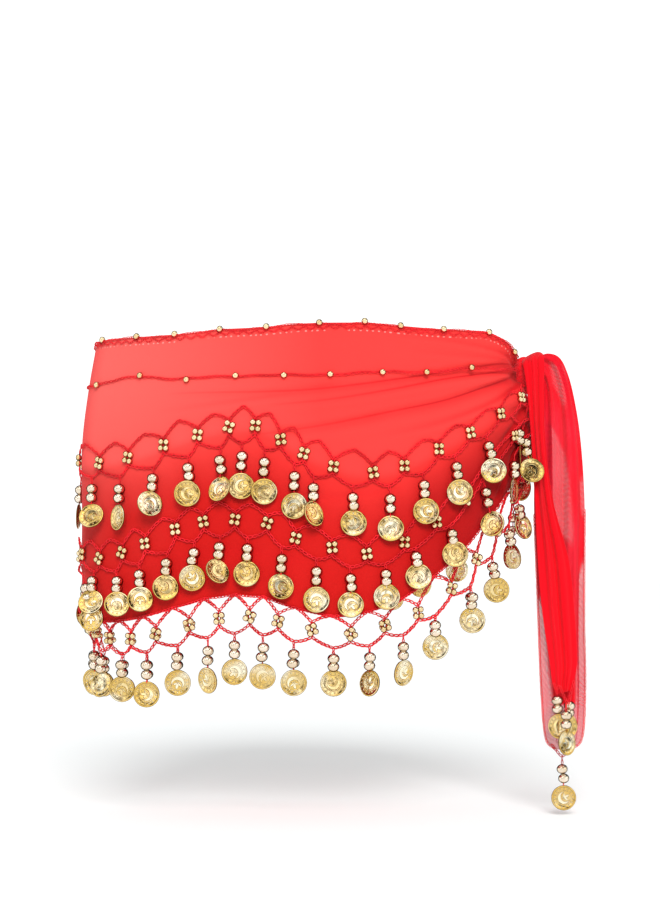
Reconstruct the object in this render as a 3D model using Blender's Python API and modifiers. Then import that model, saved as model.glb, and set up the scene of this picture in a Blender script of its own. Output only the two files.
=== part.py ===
"""Belly dance hip scarf, worn round hollow hips and tied at one side.

Metres, +Z up, and the front faces -Y. The origin is the middle of the hips at the height of the knot.
A place on the ring is the distance along it: 0 at the knot, growing along the front, then round the back.
"""

import math

import bmesh
import bpy
import numpy as np

# Driving sizes
HALF_RING = 0.428  # from the knot to the middle of the scarf, at the far hip
HALF_WIDTH_KNOT = 0.174  # hips, from the middle to the knot
HALF_WIDTH_TOP = 0.163  # hips, from the middle to the far side, at the top edge
HALF_WIDTH_HEM = 0.1765
HALF_DEPTH_TOP = 0.092
HALF_DEPTH_HEM = 0.098
TOP_LEVEL = 0.026
HEM_LEVEL = -0.174
MEAN_LEVEL = -0.100
CLOTH = 0.0012  # thickness of the cloth wall
SEAM_GAP = 0.0008  # between the front and the back at the far hip
LACE_GAP = 0.00095  # between the cloth and the lace on it
LACE_THICK = 0.0016
CHAIN_HALF = 0.0008  # half the width of a crocheted chain
COIN_RADIUS = 0.010
COIN_THICK = 0.0012
BEAD_HALF = 0.0034
BEAD_THICK = 0.0062
CLUSTER_HALF = 0.0038
CLUSTER_THICK = 0.0036
KNOT_PLACE = 0.0110  # where the wraps go into the knot
KNOT_CENTRE = (0.1786, 0.0, -0.0033)
KNOT_HALF = (0.0117, 0.0111, 0.0155)
KNOT_GROOVES = 5
KNOT_GROOVE_DEPTH = 0.07  # as a share of the knot's radius
NET_SEAM = 0.0024  # from a front net's last cluster to the back net's chains
NET_END = 0.014  # from the last cluster to the far hip or the knot, at least

# The back hangs straight behind the front for a viewer here, so it is a little wider and lower.
VIEWER_X = 0.024
VIEWER_Y = -1.6
VIEWER_Z = -0.1557

# Heights of the lines on the scarf, from the knot to its middle at the far hip, in millimetres
SECTIONS = (
    {"place": 0, "top": 8, "chain": -2, "upper": -14, "middle": -32, "hem": -62, "lower": -75},
    {"place": 16, "top": 12, "chain": -1, "upper": -20, "middle": -38, "hem": -80, "lower": -88},
    {"place": 35, "top": 20, "chain": -1, "upper": -29.5, "middle": -54, "hem": -96, "lower": -107},
    {"place": 60, "top": 26, "chain": -2, "upper": -42, "middle": -82, "hem": -117, "lower": -135},
    {"place": 85, "top": 26, "chain": -4, "upper": -55, "middle": -105, "hem": -142.5, "lower": -160},
    {"place": 110, "top": 26, "chain": -7, "upper": -67, "middle": -121.5, "hem": -162, "lower": -181},
    {"place": 135, "top": 27, "chain": -8, "upper": -79, "middle": -136.5, "hem": -179, "lower": -194},
    {"place": 160, "top": 28.5, "chain": -9, "upper": -84.5, "middle": -145, "hem": -189, "lower": -202},
    {"place": 187, "top": 28.5, "chain": -10.5, "upper": -81, "middle": -142, "hem": -193.5, "lower": -205.5},
    {"place": 215, "top": 27.5, "chain": -11.5, "upper": -68.5, "middle": -134.5, "hem": -188, "lower": -200.5},
    {"place": 245, "top": 25, "chain": -11.5, "upper": -51, "middle": -121.5, "hem": -178, "lower": -193.5},
    {"place": 275, "top": 24, "chain": -12, "upper": -51.5, "middle": -120.5, "hem": -178, "lower": -194.5},
    {"place": 310, "top": 21.5, "chain": -13, "upper": -60.5, "middle": -127.5, "hem": -187, "lower": -202.5},
    {"place": 345, "top": 21, "chain": -10, "upper": -70.5, "middle": -141, "hem": -196, "lower": -210.5},
    {"place": 385, "top": 21.5, "chain": -13, "upper": -75, "middle": -149, "hem": -198, "lower": -207},
    {"place": 428, "top": 22, "chain": -13.5, "upper": -71, "middle": -143, "hem": -188, "lower": -200},
)

# Distance from one bead cluster to the next along a net, in millimetres
PITCHES = (
    {"place": 0, "upper": 31, "lower": 29},
    {"place": 90, "upper": 31, "lower": 27},
    {"place": 160, "upper": 29, "lower": 27},
    {"place": 200, "upper": 19, "lower": 25},
    {"place": 250, "upper": 19, "lower": 23},
    {"place": 290, "upper": 26, "lower": 24},
    {"place": 350, "upper": 31, "lower": 26},
    {"place": 428, "upper": 29, "lower": 26},
)

# Creases that run into the knot: how far down the cloth, how deep, how wide and how far they reach
CREASES = (
    {"down": 0.09, "deep": 4.0, "wide": 0.032, "reach": 60},
    {"down": 0.20, "deep": 4.6, "wide": 0.038, "reach": 230},
    {"down": 0.33, "deep": 5.4, "wide": 0.042, "reach": 190},
    {"down": 0.47, "deep": 5.0, "wide": 0.045, "reach": 75},
    {"down": 0.62, "deep": 5.0, "wide": 0.048, "reach": 60},
    {"down": 0.78, "deep": 5.0, "wide": 0.052, "reach": 50},
)
# Rows of the cloth, as shares of the way down: one in each crease and one on each ridge
CLOTH_ROWS = (0, 0.045, 0.09, 0.145, 0.20, 0.265, 0.33, 0.40, 0.47, 0.545, 0.62, 0.70, 0.78, 0.86, 0.93, 1)

# The hanging net's cells, and the string of two beads and a coin under each of them
PEAK_RISE = 0.013
VALLEY_DROP = 0.0115
CLUSTER_REACH = 0.0058
NARROWEST_CELL = 0.018
WIDEST_CELL = 0.034
FULL_CELLS = 0.120  # the nets' cells are full height from this far off the knot
KNOT_CELLS = 0.50  # their height at the knot, as a share
STRING_ROWS = (
    {"drop": 0.0095, "half": BEAD_HALF, "thick": BEAD_THICK, "lift": 0.0008},
    {"drop": 0.0129, "half": 0.0013, "thick": 0.0022, "lift": 0.0016},
    {"drop": 0.0163, "half": BEAD_HALF, "thick": BEAD_THICK, "lift": 0.0020},
    {"drop": 0.0207, "half": 0.0016, "thick": COIN_THICK, "lift": 0.0047},
)
COIN_DROP = 0.0302
COIN_LIFT = 0.0047  # the coins lie over the next net
COIN_CORNERS = (52, 103, 154, 206, 257, 308)  # degrees round from the top

# Strings hang only further off the knot than "strings"
NETS = (
    {"name": "upper_net", "line": "upper", "pitch": "upper", "start": 0.018, "strings": 0.045},
    {"name": "middle_net", "line": "middle", "pitch": "lower", "start": 0.034, "strings": 0.040},
    {"name": "hem_net", "line": "lower", "pitch": "lower", "start": 0.030, "strings": 0.0},
)
HEM_HOLD = 0.0015  # how far over the hem the hem net's peaks are sewn

# The two tie ends below the knot: both edges of the ribbon, in millimetres, and its folds
FRONT_TIE = (
    {"in_x": 180.0, "out_x": 190.5, "y": 4.0, "in_z": 13.0, "out_z": 13.6, "fold": 0.8},
    {"in_x": 179.6, "out_x": 191.5, "y": -5.0, "in_z": 14.0, "out_z": 15.0, "fold": 1.0},
    {"in_x": 179.2, "out_x": 193.0, "y": -14.5, "in_z": 11.0, "out_z": 12.5, "fold": 1.3},
    {"in_x": 179.4, "out_x": 194.5, "y": -18.5, "in_z": 1.0, "out_z": 3.0, "fold": 1.6},
    {"in_x": 180.0, "out_x": 195.5, "y": -20.5, "in_z": -22.0, "out_z": -21.0, "fold": 2.0},
    {"in_x": 181.0, "out_x": 197.0, "y": -21.5, "in_z": -60.0, "out_z": -60.0, "fold": 2.4},
    {"in_x": 184.0, "out_x": 201.0, "y": -22.0, "in_z": -105.0, "out_z": -105.0, "fold": 2.6},
    {"in_x": 187.5, "out_x": 212.0, "y": -22.5, "in_z": -150.0, "out_z": -150.0, "fold": 2.6},
    {"in_x": 191.0, "out_x": 215.5, "y": -22.5, "in_z": -190.0, "out_z": -190.0, "fold": 2.4},
    {"in_x": 196.5, "out_x": 219.0, "y": -22.5, "in_z": -232.0, "out_z": -230.0, "fold": 2.0},
    {"in_x": 200.0, "out_x": 216.0, "y": -22.5, "in_z": -248.0, "out_z": -246.0, "fold": 1.4},
)
REAR_TIE = (
    {"in_x": 190.7, "out_x": 190.9, "y": -3.0, "in_z": -13.0, "out_z": 6.0, "fold": 1.2},
    {"in_x": 191.8, "out_x": 196.5, "y": -6.0, "in_z": -16.0, "out_z": 8.5, "fold": 1.6},
    {"in_x": 192.0, "out_x": 203.5, "y": -8.0, "in_z": -21.0, "out_z": 7.5, "fold": 2.0},
    {"in_x": 191.5, "out_x": 210.5, "y": -9.0, "in_z": -28.0, "out_z": -1.5, "fold": 2.4},
    {"in_x": 190.0, "out_x": 216.0, "y": -9.5, "in_z": -38.0, "out_z": -22.0, "fold": 2.8},
    {"in_x": 187.5, "out_x": 219.5, "y": -9.5, "in_z": -62.0, "out_z": -56.0, "fold": 3.0},
    {"in_x": 186.0, "out_x": 222.5, "y": -9.5, "in_z": -105.0, "out_z": -103.0, "fold": 3.2},
    {"in_x": 187.5, "out_x": 223.0, "y": -9.5, "in_z": -150.0, "out_z": -150.0, "fold": 3.0},
    {"in_x": 189.5, "out_x": 223.8, "y": -9.5, "in_z": -200.0, "out_z": -200.0, "fold": 2.6},
    {"in_x": 191.5, "out_x": 223.8, "y": -9.5, "in_z": -250.0, "out_z": -250.0, "fold": 2.0},
    {"in_x": 194.5, "out_x": 222.5, "y": -9.5, "in_z": -290.0, "out_z": -290.0, "fold": 1.4},
    {"in_x": 201.0, "out_x": 215.5, "y": -9.5, "in_z": -299.5, "out_z": -299.5, "fold": 0.6},
)
# The chain along each end and the strings on it, in millimetres; "lift" is how far to the front it is
FRONT_TRIM = (
    {"x": 203.6, "z": -248.9, "lift": 24.4, "string": True},
    {"x": 207.6, "z": -255.0, "lift": 28.0, "string": False},
    {"x": 210.2, "z": -263.0, "lift": 31.6, "string": True},
    {"x": 213.6, "z": -254.0, "lift": 24.0, "string": False},
    {"x": 213.2, "z": -248.8, "lift": 18.0, "string": False},
)
REAR_TRIM = (
    {"x": 199.4, "z": -296.5, "lift": 11.0, "string": False},
    {"x": 208.3, "z": -307.5, "lift": 11.0, "string": True},
    {"x": 217.2, "z": -296.5, "lift": 11.0, "string": False},
)
RIBBON_FOLDS = 2.5
MM = 0.001


def column(table, name):
    """One column of a table, in metres."""
    return np.array([row[name] for row in table]) * MM


def smooth(places, xs, ys):
    """A soft curve through a table's rows, with slopes from the neighbours on each side."""
    places = np.asarray(places, float)
    slopes = np.gradient(ys, xs)
    i = np.clip(np.searchsorted(xs, places, side="right") - 1, 0, len(xs) - 2)
    step = xs[i + 1] - xs[i]
    t = np.clip((places - xs[i]) / step, 0, 1)
    rise = ys[i + 1] - ys[i]
    ease = t * t * (3 - 2 * t)
    bend = t * (1 - t) ** 2 * (slopes[i] * step) - t * t * (1 - t) * (slopes[i + 1] * step)
    return ys[i] + rise * ease + bend


def hip_sizes(level):
    """Half width at the far side and half depth of the hips at a height."""
    down = np.clip((TOP_LEVEL - np.asarray(level, float)) / (TOP_LEVEL - HEM_LEVEL), 0, 1)
    wide = HALF_WIDTH_TOP + (HALF_WIDTH_HEM - HALF_WIDTH_TOP) * down
    deep = HALF_DEPTH_TOP + (HALF_DEPTH_HEM - HALF_DEPTH_TOP) * down
    return wide, deep


def around(angle, level):
    """The point of the hips at an angle from the knot and a height."""
    wide, deep = hip_sizes(level)
    to_knot = (1 + np.cos(angle)) / 2
    half = HALF_WIDTH_KNOT * to_knot + wide * (1 - to_knot)
    flat = np.broadcast_arrays(half * np.cos(angle), -deep * np.sin(angle), level)
    return np.stack(flat, axis=-1)


ANGLES = np.linspace(0, 2 * math.pi, 1441)
RING = around(ANGLES, MEAN_LEVEL)
ALONG = np.concatenate([[0], np.cumsum(np.linalg.norm(np.diff(RING, axis=0), axis=1))])
FULL_RING = ALONG[-1]


def unit(vectors):
    return vectors / np.linalg.norm(vectors, axis=-1, keepdims=True)


def hip_point(place, level):
    """The point of the hips at a place along the ring and a height."""
    return around(np.interp(place, ALONG, ANGLES), level)


def hip_frame(place, level):
    """A hip point with the directions along the ring, down the cloth and outwards."""
    step = 0.0005
    point = hip_point(place, level)
    along = hip_point(place + step, level) - hip_point(place - step, level)
    down = hip_point(place, level - step) - hip_point(place, level + step)
    along, down = unit(along), unit(down)
    return point, along, down, unit(np.cross(along, down))


def twin(place):
    """The place on the front that hides a place on the back, and how much further off the back is."""
    place = np.asarray(place, float)
    seen = (RING[:, 0] - VIEWER_X) / (RING[:, 1] - VIEWER_Y)
    turn = int(np.argmin(seen))
    back_seen = np.interp(place, ALONG[turn:], seen[turn:])
    start = int(np.argmax(seen[:turn]))
    front = np.interp(-back_seen, -seen[start:turn], ALONG[start:turn])
    behind = np.clip(place - ALONG[turn], 0, None) > 0
    front_y = np.interp(front, ALONG, RING[:, 1])
    back_y = np.interp(place, ALONG, RING[:, 1])
    ratio = (back_y - VIEWER_Y) / (front_y - VIEWER_Y)
    return np.where(behind, front, place), np.where(behind, np.maximum(ratio, 1), 1.0)


def behind(place):
    """The place on the back that lies straight behind a place on the front."""
    grid = np.linspace(HALF_RING + 0.002, FULL_RING - 0.004, 400)
    fronts = twin(grid)[0]
    return float(np.interp(-place, -fronts, grid))


def line(name, place):
    """Height of one of the scarf's lines at a place on the ring."""
    front, ratio = twin(place)
    value = smooth(front, column(SECTIONS, "place"), column(SECTIONS, name))
    if name in ("hem", "lower"):
        value = VIEWER_Z + (value - VIEWER_Z) * ratio
    return value


def crease(place, down):
    """How far the cloth is drawn in at a place and a share of the way down, in metres."""
    near = np.minimum(place, FULL_RING - place)
    drawn = np.zeros(np.broadcast(place, down).shape)
    for fold in CREASES:
        fade = np.clip(1 - (near - KNOT_PLACE) / (fold["reach"] * MM), 0, 1) ** 1.5
        width = fold["wide"] * (0.7 + 0.6 * np.clip(near / 0.15, 0, 1))
        drawn = drawn + fold["deep"] * MM * fade * np.exp(-(((down - fold["down"]) / width) ** 2))
    return drawn


def sway(place, down):
    """Soft upright waves in the free lower part of the cloth, in metres."""
    share = np.clip((down - 0.45) / 0.55, 0, 1)
    wave = 0.5 + 0.5 * np.sin(2 * math.pi * place / 0.083 + 0.6)
    return 0.0015 * share * wave


def cloth_point(place, down):
    """A point of the cloth's outer face."""
    top = line("top", place)
    hem = line("hem", place)
    level = top + down * (hem - top)
    point, _, _, out = hip_frame(place, level)
    inward = crease(place, down) + sway(place, down)
    return point - out * inward[..., None]


def material(name, colour, roughness, metallic):
    made = bpy.data.materials.new(name)
    made.use_nodes = True
    shader = made.node_tree.nodes["Principled BSDF"]
    shader.inputs["Base Color"].default_value = (*colour, 1)
    shader.inputs["Roughness"].default_value = roughness
    shader.inputs["Metallic"].default_value = metallic
    return made


def add_object(name, mesh, collection, finish):
    made = bpy.data.objects.new(name, mesh)
    made.data.materials.append(finish)
    collection.objects.link(made)
    return made


def grid_mesh(name, points):
    """An open sheet through rows and columns of points, facing outwards."""
    rows, columns = points.shape[:2]
    index = np.arange(rows * columns).reshape(rows, columns)
    quads = np.stack([index[:-1, :-1], index[:-1, 1:], index[1:, 1:], index[1:, :-1]], axis=-1)
    mesh = bpy.data.meshes.new(name)
    mesh.from_pydata(points.reshape(-1, 3).tolist(), [], quads.reshape(-1, 4).tolist())
    mesh.shade_smooth()
    return mesh


def thicken(obj, thickness, side):
    """Turns an open sheet into a wall, inwards for side -1 and outwards for side 1."""
    wall = obj.modifiers.new("Wall", "SOLIDIFY")
    wall.thickness = thickness
    wall.offset = side
    wall.use_rim = True
    if obj.vertex_groups:
        wall.vertex_group = obj.vertex_groups[0].name
        wall.thickness_vertex_group = 0


def wrap(name, start, end, columns, collection, finish):
    """One half of the worn cloth, from the knot to the far hip."""
    spread = np.linspace(0, 1, columns)
    near_knot = spread**1.25 if start < HALF_RING / 2 else 1 - (1 - spread) ** 1.25
    places = start + (end - start) * near_knot
    downs = np.array(CLOTH_ROWS)
    points = cloth_point(places[None, :], downs[:, None])
    obj = add_object(name, grid_mesh(name, points), collection, finish)
    thicken(obj, CLOTH, -1)


class Lace:
    """A flat pattern of strips, drawn as lines between knots, that is laid on a surface."""

    def __init__(self):
        self.knots = []
        self.lines = []
        self.coins = []

    def knot(self, place, level, half=CHAIN_HALF, thick=LACE_THICK, lift=0.0):
        self.knots.append((place, level, half, thick, lift))
        return len(self.knots) - 1

    def join(self, *knots):
        self.lines.extend(zip(knots, knots[1:]))

    def string(self, root, scale, lifted):
        """Two beads and a coin below a knot. A lifted one clears the net that it lies over."""
        place, level = self.knots[root][:2]
        start = self.knots[root][4]
        last = root
        for row in STRING_ROWS:
            drop, lift = row["drop"] * scale, start + row["lift"] * lifted
            lower = self.knot(place, level - drop, row["half"], row["thick"], lift)
            self.join(last, lower)
            last = lower
        self.coins.append((last, level - COIN_DROP * scale, start + COIN_LIFT * lifted))

    def corners(self):
        """The corner points round each knot, keyed by the pair of knots they lie beside."""
        ends = {}
        for a, b in self.lines:
            ends.setdefault(a, []).append(b)
            ends.setdefault(b, []).append(a)
        points, keys, rings = [], {}, []
        for knot, others in ends.items():
            place, level, half, thick, lift = self.knots[knot]
            heading = {
                o: math.atan2(self.knots[o][1] - level, self.knots[o][0] - place) for o in others
            }
            others = sorted(others, key=lambda o: heading[o])
            ring = []
            for i, other in enumerate(others):
                after = others[(i + 1) % len(others)]
                gap = (heading[after] - heading[other]) % (2 * math.pi)
                gap = gap or 2 * math.pi
                if len(others) == 1:
                    for turn in (math.pi / 2, -math.pi / 2):
                        angle = heading[other] + turn
                        keys[knot, other, turn > 0] = len(points)
                        across, up = half * math.cos(angle), half * math.sin(angle)
                        points.append((place, level, across, up, thick, lift))
                    continue
                angle = heading[other] + gap / 2
                reach = half / max(math.sin(gap / 2), 0.45)
                keys[knot, other, True] = keys[knot, after, False] = len(points)
                ring.append(len(points))
                across, up = reach * math.cos(angle), reach * math.sin(angle)
                points.append((place, level, across, up, thick, lift))
            if len(ring) > 2:
                rings.append(ring)
        return points, keys, rings

    def build(self, name, collection, finish, lay):
        """Makes the pattern's sheet, laid out by a function, and thickens it."""
        points, keys, faces = self.corners()
        for a, b in self.lines:
            faces.append([keys[a, b, False], keys[b, a, True], keys[b, a, False], keys[a, b, True]])
        for last, level, lift in self.coins:
            place, old_level = self.knots[last][:2]
            other = next(a for a, b in self.lines if b == last)
            left, right = keys[last, other, True], keys[last, other, False]
            for side in (left, right):
                across, up = points[side][2:4]
                points[side] = (place, level, across, up + old_level - level, COIN_THICK, lift)
            ring = [right]
            for degrees in COIN_CORNERS:
                turn = math.radians(degrees)
                ring.append(len(points))
                across, up = COIN_RADIUS * math.sin(turn), COIN_RADIUS * math.cos(turn)
                points.append((place, level, across, up, COIN_THICK, lift))
            ring.append(left)
            faces.append(ring)
        table = np.array(points)
        origin, along, down, out = lay(table[:, 0], table[:, 1], table[:, 5:6])
        spots = origin + along * table[:, 2:3] - down * table[:, 3:4]
        mesh = bpy.data.meshes.new(name)
        mesh.from_pydata(spots.tolist(), [], faces)
        built = bmesh.new()
        built.from_mesh(mesh)
        built.faces.ensure_lookup_table()
        for face in built.faces:
            face.normal_update()
            if face.normal.dot(out[face.verts[0].index]) < 0:
                face.normal_flip()
        built.to_mesh(mesh)
        built.free()
        obj = add_object(name, mesh, collection, finish)
        most = table[:, 4].max()
        group = obj.vertex_groups.new(name="thickness")
        for index, thick in enumerate(table[:, 4]):
            group.add([index], float(thick / most), "REPLACE")
        thicken(obj, most, 1)


def lay_on_hips(place, level, lift):
    """Lays a pattern on the hips, a gap off the cloth."""
    point, along, down, out = hip_frame(place, level)
    return point + out * (LACE_GAP + lift), along, down, out


def cluster_places(net):
    """Where a net's bead clusters lie round the whole ring."""
    pitches = column(PITCHES, "place"), column(PITCHES, net["pitch"])
    front = [net["start"]]
    while front[-1] < HALF_RING - NET_END:
        front.append(front[-1] + float(smooth(front[-1], *pitches)))
    rear = [behind(place) for place in front[:-1]]
    rear = sorted(p for p in rear if front[-1] + NARROWEST_CELL < p < FULL_RING - NET_END)
    if rear[0] - front[-1] > WIDEST_CELL:
        rear.insert(0, (rear[0] + front[-1]) / 2)
    return front, rear


def cell(net, place):
    """Height of a net's clusters at a place, and the scales of its cells and of its strings there."""
    hanging = float(twin(place)[1]) if net["line"] == "lower" else 1.0
    off_knot = min(place, FULL_RING - place)
    scale = KNOT_CELLS + (1 - KNOT_CELLS) * min(off_knot / FULL_CELLS, 1)
    return float(line(net["line"], place)), scale * hanging, hanging


def net_half(net, name, clusters, ends, collection, finish):
    """One half of a net of six-sided cells with a bead cluster in each upright and a string of beads
    and a coin under each cell. Its chains run on to the ends beyond the clusters."""
    lace = Lace()
    posts = []
    for place in sorted((*clusters, *ends)):
        level, scale, _ = cell(net, place)
        reach = CLUSTER_REACH * scale
        posts.append((place, lace.knot(place, level + reach), lace.knot(place, level - reach)))
        if place in clusters:
            heart = lace.knot(place, level, CLUSTER_HALF, CLUSTER_THICK)
            lace.join(posts[-1][1], heart, posts[-1][2])
    for (left, left_top, left_foot), (right, right_top, right_foot) in zip(posts, posts[1:]):
        middle = (left + right) / 2
        level, scale, hanging = cell(net, middle)
        valley = lace.knot(middle, level - VALLEY_DROP * scale)
        if net["line"] == "lower":
            peak = lace.knot(middle, float(line("hem", middle)) + HEM_HOLD)
        else:
            peak = lace.knot(middle, level + PEAK_RISE * scale)
        lace.join(left_top, peak, right_top)
        lace.join(left_foot, valley, right_foot)
        if min(middle, FULL_RING - middle) > net["strings"]:
            lace.string(valley, hanging, net["line"] != "lower")
    lace.build(name, collection, finish, lay_on_hips)


def chain(name, line_name, rise, start, end, steps, collection, finish):
    """A crocheted chain sewn along a line of the cloth."""
    lace = Lace()
    places = np.linspace(start, end, steps)
    knots = [lace.knot(p, float(line(line_name, p)) + rise, 0.0011) for p in places]
    lace.join(*knots)
    lace.build(name, collection, finish, lay_on_hips)


def ribbon_point(table, along, across):
    """A point of a tie end. The folds are waves across the ribbon that fade at its edges."""
    rows = np.arange(len(table), dtype=float)
    read = {
        name: smooth(along, rows, column(table, name))
        for name in ("in_x", "out_x", "y", "in_z", "out_z", "fold")
    }
    x = read["in_x"] + (read["out_x"] - read["in_x"]) * across
    z = read["in_z"] + (read["out_z"] - read["in_z"]) * across
    wave = np.sin(2 * math.pi * RIBBON_FOLDS * across + 0.35 * along)
    return np.stack([x, read["y"] - read["fold"] * wave, z], axis=-1)


def tie_end(name, table, rows, collection, finish):
    """A tie end, gathered at the knot and hanging in folds."""
    along = np.linspace(0, len(table) - 1, rows)
    across = np.linspace(0, 1, 11)
    points = ribbon_point(table, along[:, None], across[None, :])
    obj = add_object(name, grid_mesh(name, points), collection, finish)
    thicken(obj, CLOTH, 0)


def lay_flat(x, z, lift):
    """Lays a pattern upright, facing the front."""
    ones = np.ones_like(x)[:, None]
    point = np.stack([x, -lift[:, 0], z], axis=-1)
    return point, ones * [1, 0, 0], ones * [0, 0, -1], ones * [0, -1, 0]


def tie_trim(name, table, collection, finish):
    """The chain along a tie end's edge, with its strings."""
    lace = Lace()
    roots = [lace.knot(row["x"] * MM, row["z"] * MM, lift=row["lift"] * MM) for row in table]
    lace.join(*roots)
    for root, row in zip(roots, table):
        if row["string"]:
            lace.string(root, 1.0, False)
    lace.build(name, collection, finish, lay_flat)


def knot_body(collection, finish):
    """The tied knot: a squat body, poles to the front and back, with grooves where the cloth is wound."""
    rings, sides = 13, 28
    turn = np.linspace(0, 2 * math.pi, sides, endpoint=False)[None, :]
    tilt = np.linspace(0, math.pi, rings)[1:-1, None]
    groove = 1 + KNOT_GROOVE_DEPTH * np.cos(KNOT_GROOVES * turn + 2.2 * tilt)
    girth = np.sin(tilt) ** 0.7 * groove
    x = KNOT_CENTRE[0] + KNOT_HALF[0] * girth * np.cos(turn)
    y = KNOT_CENTRE[1] - KNOT_HALF[1] * np.cos(tilt)
    z = KNOT_CENTRE[2] + KNOT_HALF[2] * girth * np.sin(turn)
    points = np.stack(np.broadcast_arrays(x, y, z), axis=-1)
    mesh = bpy.data.meshes.new("knot")
    built = bmesh.new()
    rows = [[built.verts.new(p) for p in ring] for ring in points]
    for lower, upper in zip(rows, rows[1:]):
        for i in range(sides):
            j = (i + 1) % sides
            built.faces.new((lower[i], lower[j], upper[j], upper[i]))
    built.faces.new(rows[0])
    built.faces.new(reversed(rows[-1]))
    bmesh.ops.recalc_face_normals(built, faces=built.faces)
    built.to_mesh(mesh)
    built.free()
    mesh.shade_smooth()
    add_object("knot", mesh, collection, finish)


def main():
    for old in list(bpy.data.objects):
        bpy.data.objects.remove(old)
    scarf = bpy.data.collections.new("hip_scarf")
    bpy.context.scene.collection.children.link(scarf)
    red_cloth = material("red_cloth", (0.85, 0.06, 0.05), 0.75, 0.0)
    red_thread = material("red_thread", (0.70, 0.02, 0.03), 0.70, 0.0)
    gold = material("gold_and_thread", (0.86, 0.66, 0.28), 0.28, 1.0)

    far = HALF_RING
    wrap("wrap_front", KNOT_PLACE, far - SEAM_GAP / 2, 31, scarf, red_cloth)
    wrap("wrap_back", far + SEAM_GAP / 2, FULL_RING - KNOT_PLACE, 31, scarf, red_cloth)
    knot_body(scarf, red_cloth)
    tie_end("tie_end_front", FRONT_TIE, 20, scarf, red_cloth)
    tie_end("tie_end_rear", REAR_TIE, 20, scarf, red_cloth)

    near, back_end = KNOT_PLACE + 0.001, FULL_RING - KNOT_PLACE - 0.001
    for name, line_name, rise in (("top_edging", "top", -0.0012), ("bead_chain", "chain", 0.0)):
        chain(name + "_front", line_name, rise, near, far - SEAM_GAP, 30, scarf, red_thread)
        chain(name + "_back", line_name, rise, far + SEAM_GAP, back_end, 30, scarf, red_thread)

    for net in NETS:
        front, rear = cluster_places(net)
        rear_ends = (front[-1] + NET_SEAM, back_end)
        net_half(net, net["name"] + "_front", front, (near,), scarf, gold)
        net_half(net, net["name"] + "_back", rear, rear_ends, scarf, gold)

    tie_trim("tie_trim_front", FRONT_TRIM, scarf, gold)
    tie_trim("tie_trim_rear", REAR_TRIM, scarf, gold)


main()
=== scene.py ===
import math

import bpy
import numpy as np
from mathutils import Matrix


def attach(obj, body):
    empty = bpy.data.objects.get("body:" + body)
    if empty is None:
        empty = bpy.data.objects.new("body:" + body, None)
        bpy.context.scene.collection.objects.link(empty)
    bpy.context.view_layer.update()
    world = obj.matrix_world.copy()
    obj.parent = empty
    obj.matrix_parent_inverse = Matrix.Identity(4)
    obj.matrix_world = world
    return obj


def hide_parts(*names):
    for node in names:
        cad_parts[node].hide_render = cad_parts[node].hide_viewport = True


# Hip scarf of red chiffon with three nets of beads and coins, worn round the hips and tied at one side.
# Metres, +Z up, front towards -Y, the knot towards +X. Tables give places along the hips and heights in
# millimetres: a place is 0 at the knot and grows along the front, then round the back.
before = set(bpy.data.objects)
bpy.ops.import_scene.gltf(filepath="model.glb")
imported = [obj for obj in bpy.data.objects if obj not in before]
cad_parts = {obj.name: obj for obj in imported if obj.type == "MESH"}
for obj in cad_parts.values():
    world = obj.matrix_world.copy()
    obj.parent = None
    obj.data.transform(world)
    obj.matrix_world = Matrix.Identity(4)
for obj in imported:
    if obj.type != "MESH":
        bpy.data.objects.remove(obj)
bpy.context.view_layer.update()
print("frame loaded")

mm = 0.001
scene = bpy.context.scene
dice = np.random.default_rng(11)

camera = {"place": (0.024, -1.6, -0.1557), "lens": 80.16, "sensor": 36.0, "shiftY": 0.13, "farthest": 60}
cameraData = bpy.data.cameras.new("camera")
cameraData.lens = camera["lens"]
cameraData.sensor_fit = "VERTICAL"
cameraData.sensor_height = camera["sensor"]
cameraData.shift_y = camera["shiftY"]
cameraData.clip_end = camera["farthest"]
cameraObject = bpy.data.objects.new("camera", cameraData)
cameraObject.location = camera["place"]
cameraObject.rotation_euler = (math.pi / 2, 0, 0)
scene.collection.objects.link(cameraObject)
scene.camera = cameraObject

hips = {
    "halfRing": 0.428,
    "halfWidthKnot": 0.174,
    "farLevels": (-0.200, -0.146, -0.118, -0.050, -0.012, 0.026),
    "farWidths": (0.1752, 0.1750, 0.1745, 0.1732, 0.1682, 0.1614),
    "halfDepthTop": 0.092,
    "halfDepthHem": 0.098,
    "topLevel": 0.026,
    "hemLevel": -0.174,
    "meanLevel": -0.100,  # places are measured on this oval
    "meanWidth": 0.1715,
    "probe": 0.0005,  # how far to either side a direction is taken
}
linePlaces = np.array([0, 16, 35, 60, 85, 110, 135, 160, 187, 215, 245, 275, 310, 345, 385, 428]) * mm
lineLevels = {
    "top": (8, 12, 20, 26, 26, 26, 27, 28.5, 28.5, 27.5, 25, 24, 21.5, 21, 21.5, 22),
    "chain": (-2, -1, -1, -2, -4, -7, -8, -9, -10.5, -11.5, -11.5, -12, -13, -10, -13, -13.5),
    "upper": (-14, -20, -29.5, -42, -55, -67, -79, -84.5, -81, -68.5, -51, -51.5, -60.5, -70.5, -75, -71),
    "hem": (-62, -80, -96, -117, -142.5, -162, -179, -189, -193.5, -188, -178, -178, -187, -196, -198, -188),
}


def unit(vectors):
    return vectors / np.linalg.norm(vectors, axis=-1, keepdims=True)


def held(values):
    return np.clip(values, 0, 1)


def bell(values):
    # a smooth hump: 1 at 0, and almost nothing from 2 on
    return np.exp(-(values**2))


def runOf(points):
    # the length along a path up to each of its points
    return np.concatenate([[0], np.cumsum(np.linalg.norm(np.diff(points, axis=0), axis=1))])


def roundAngles(count):
    return np.linspace(0, 2 * math.pi, count, endpoint=False)


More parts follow.
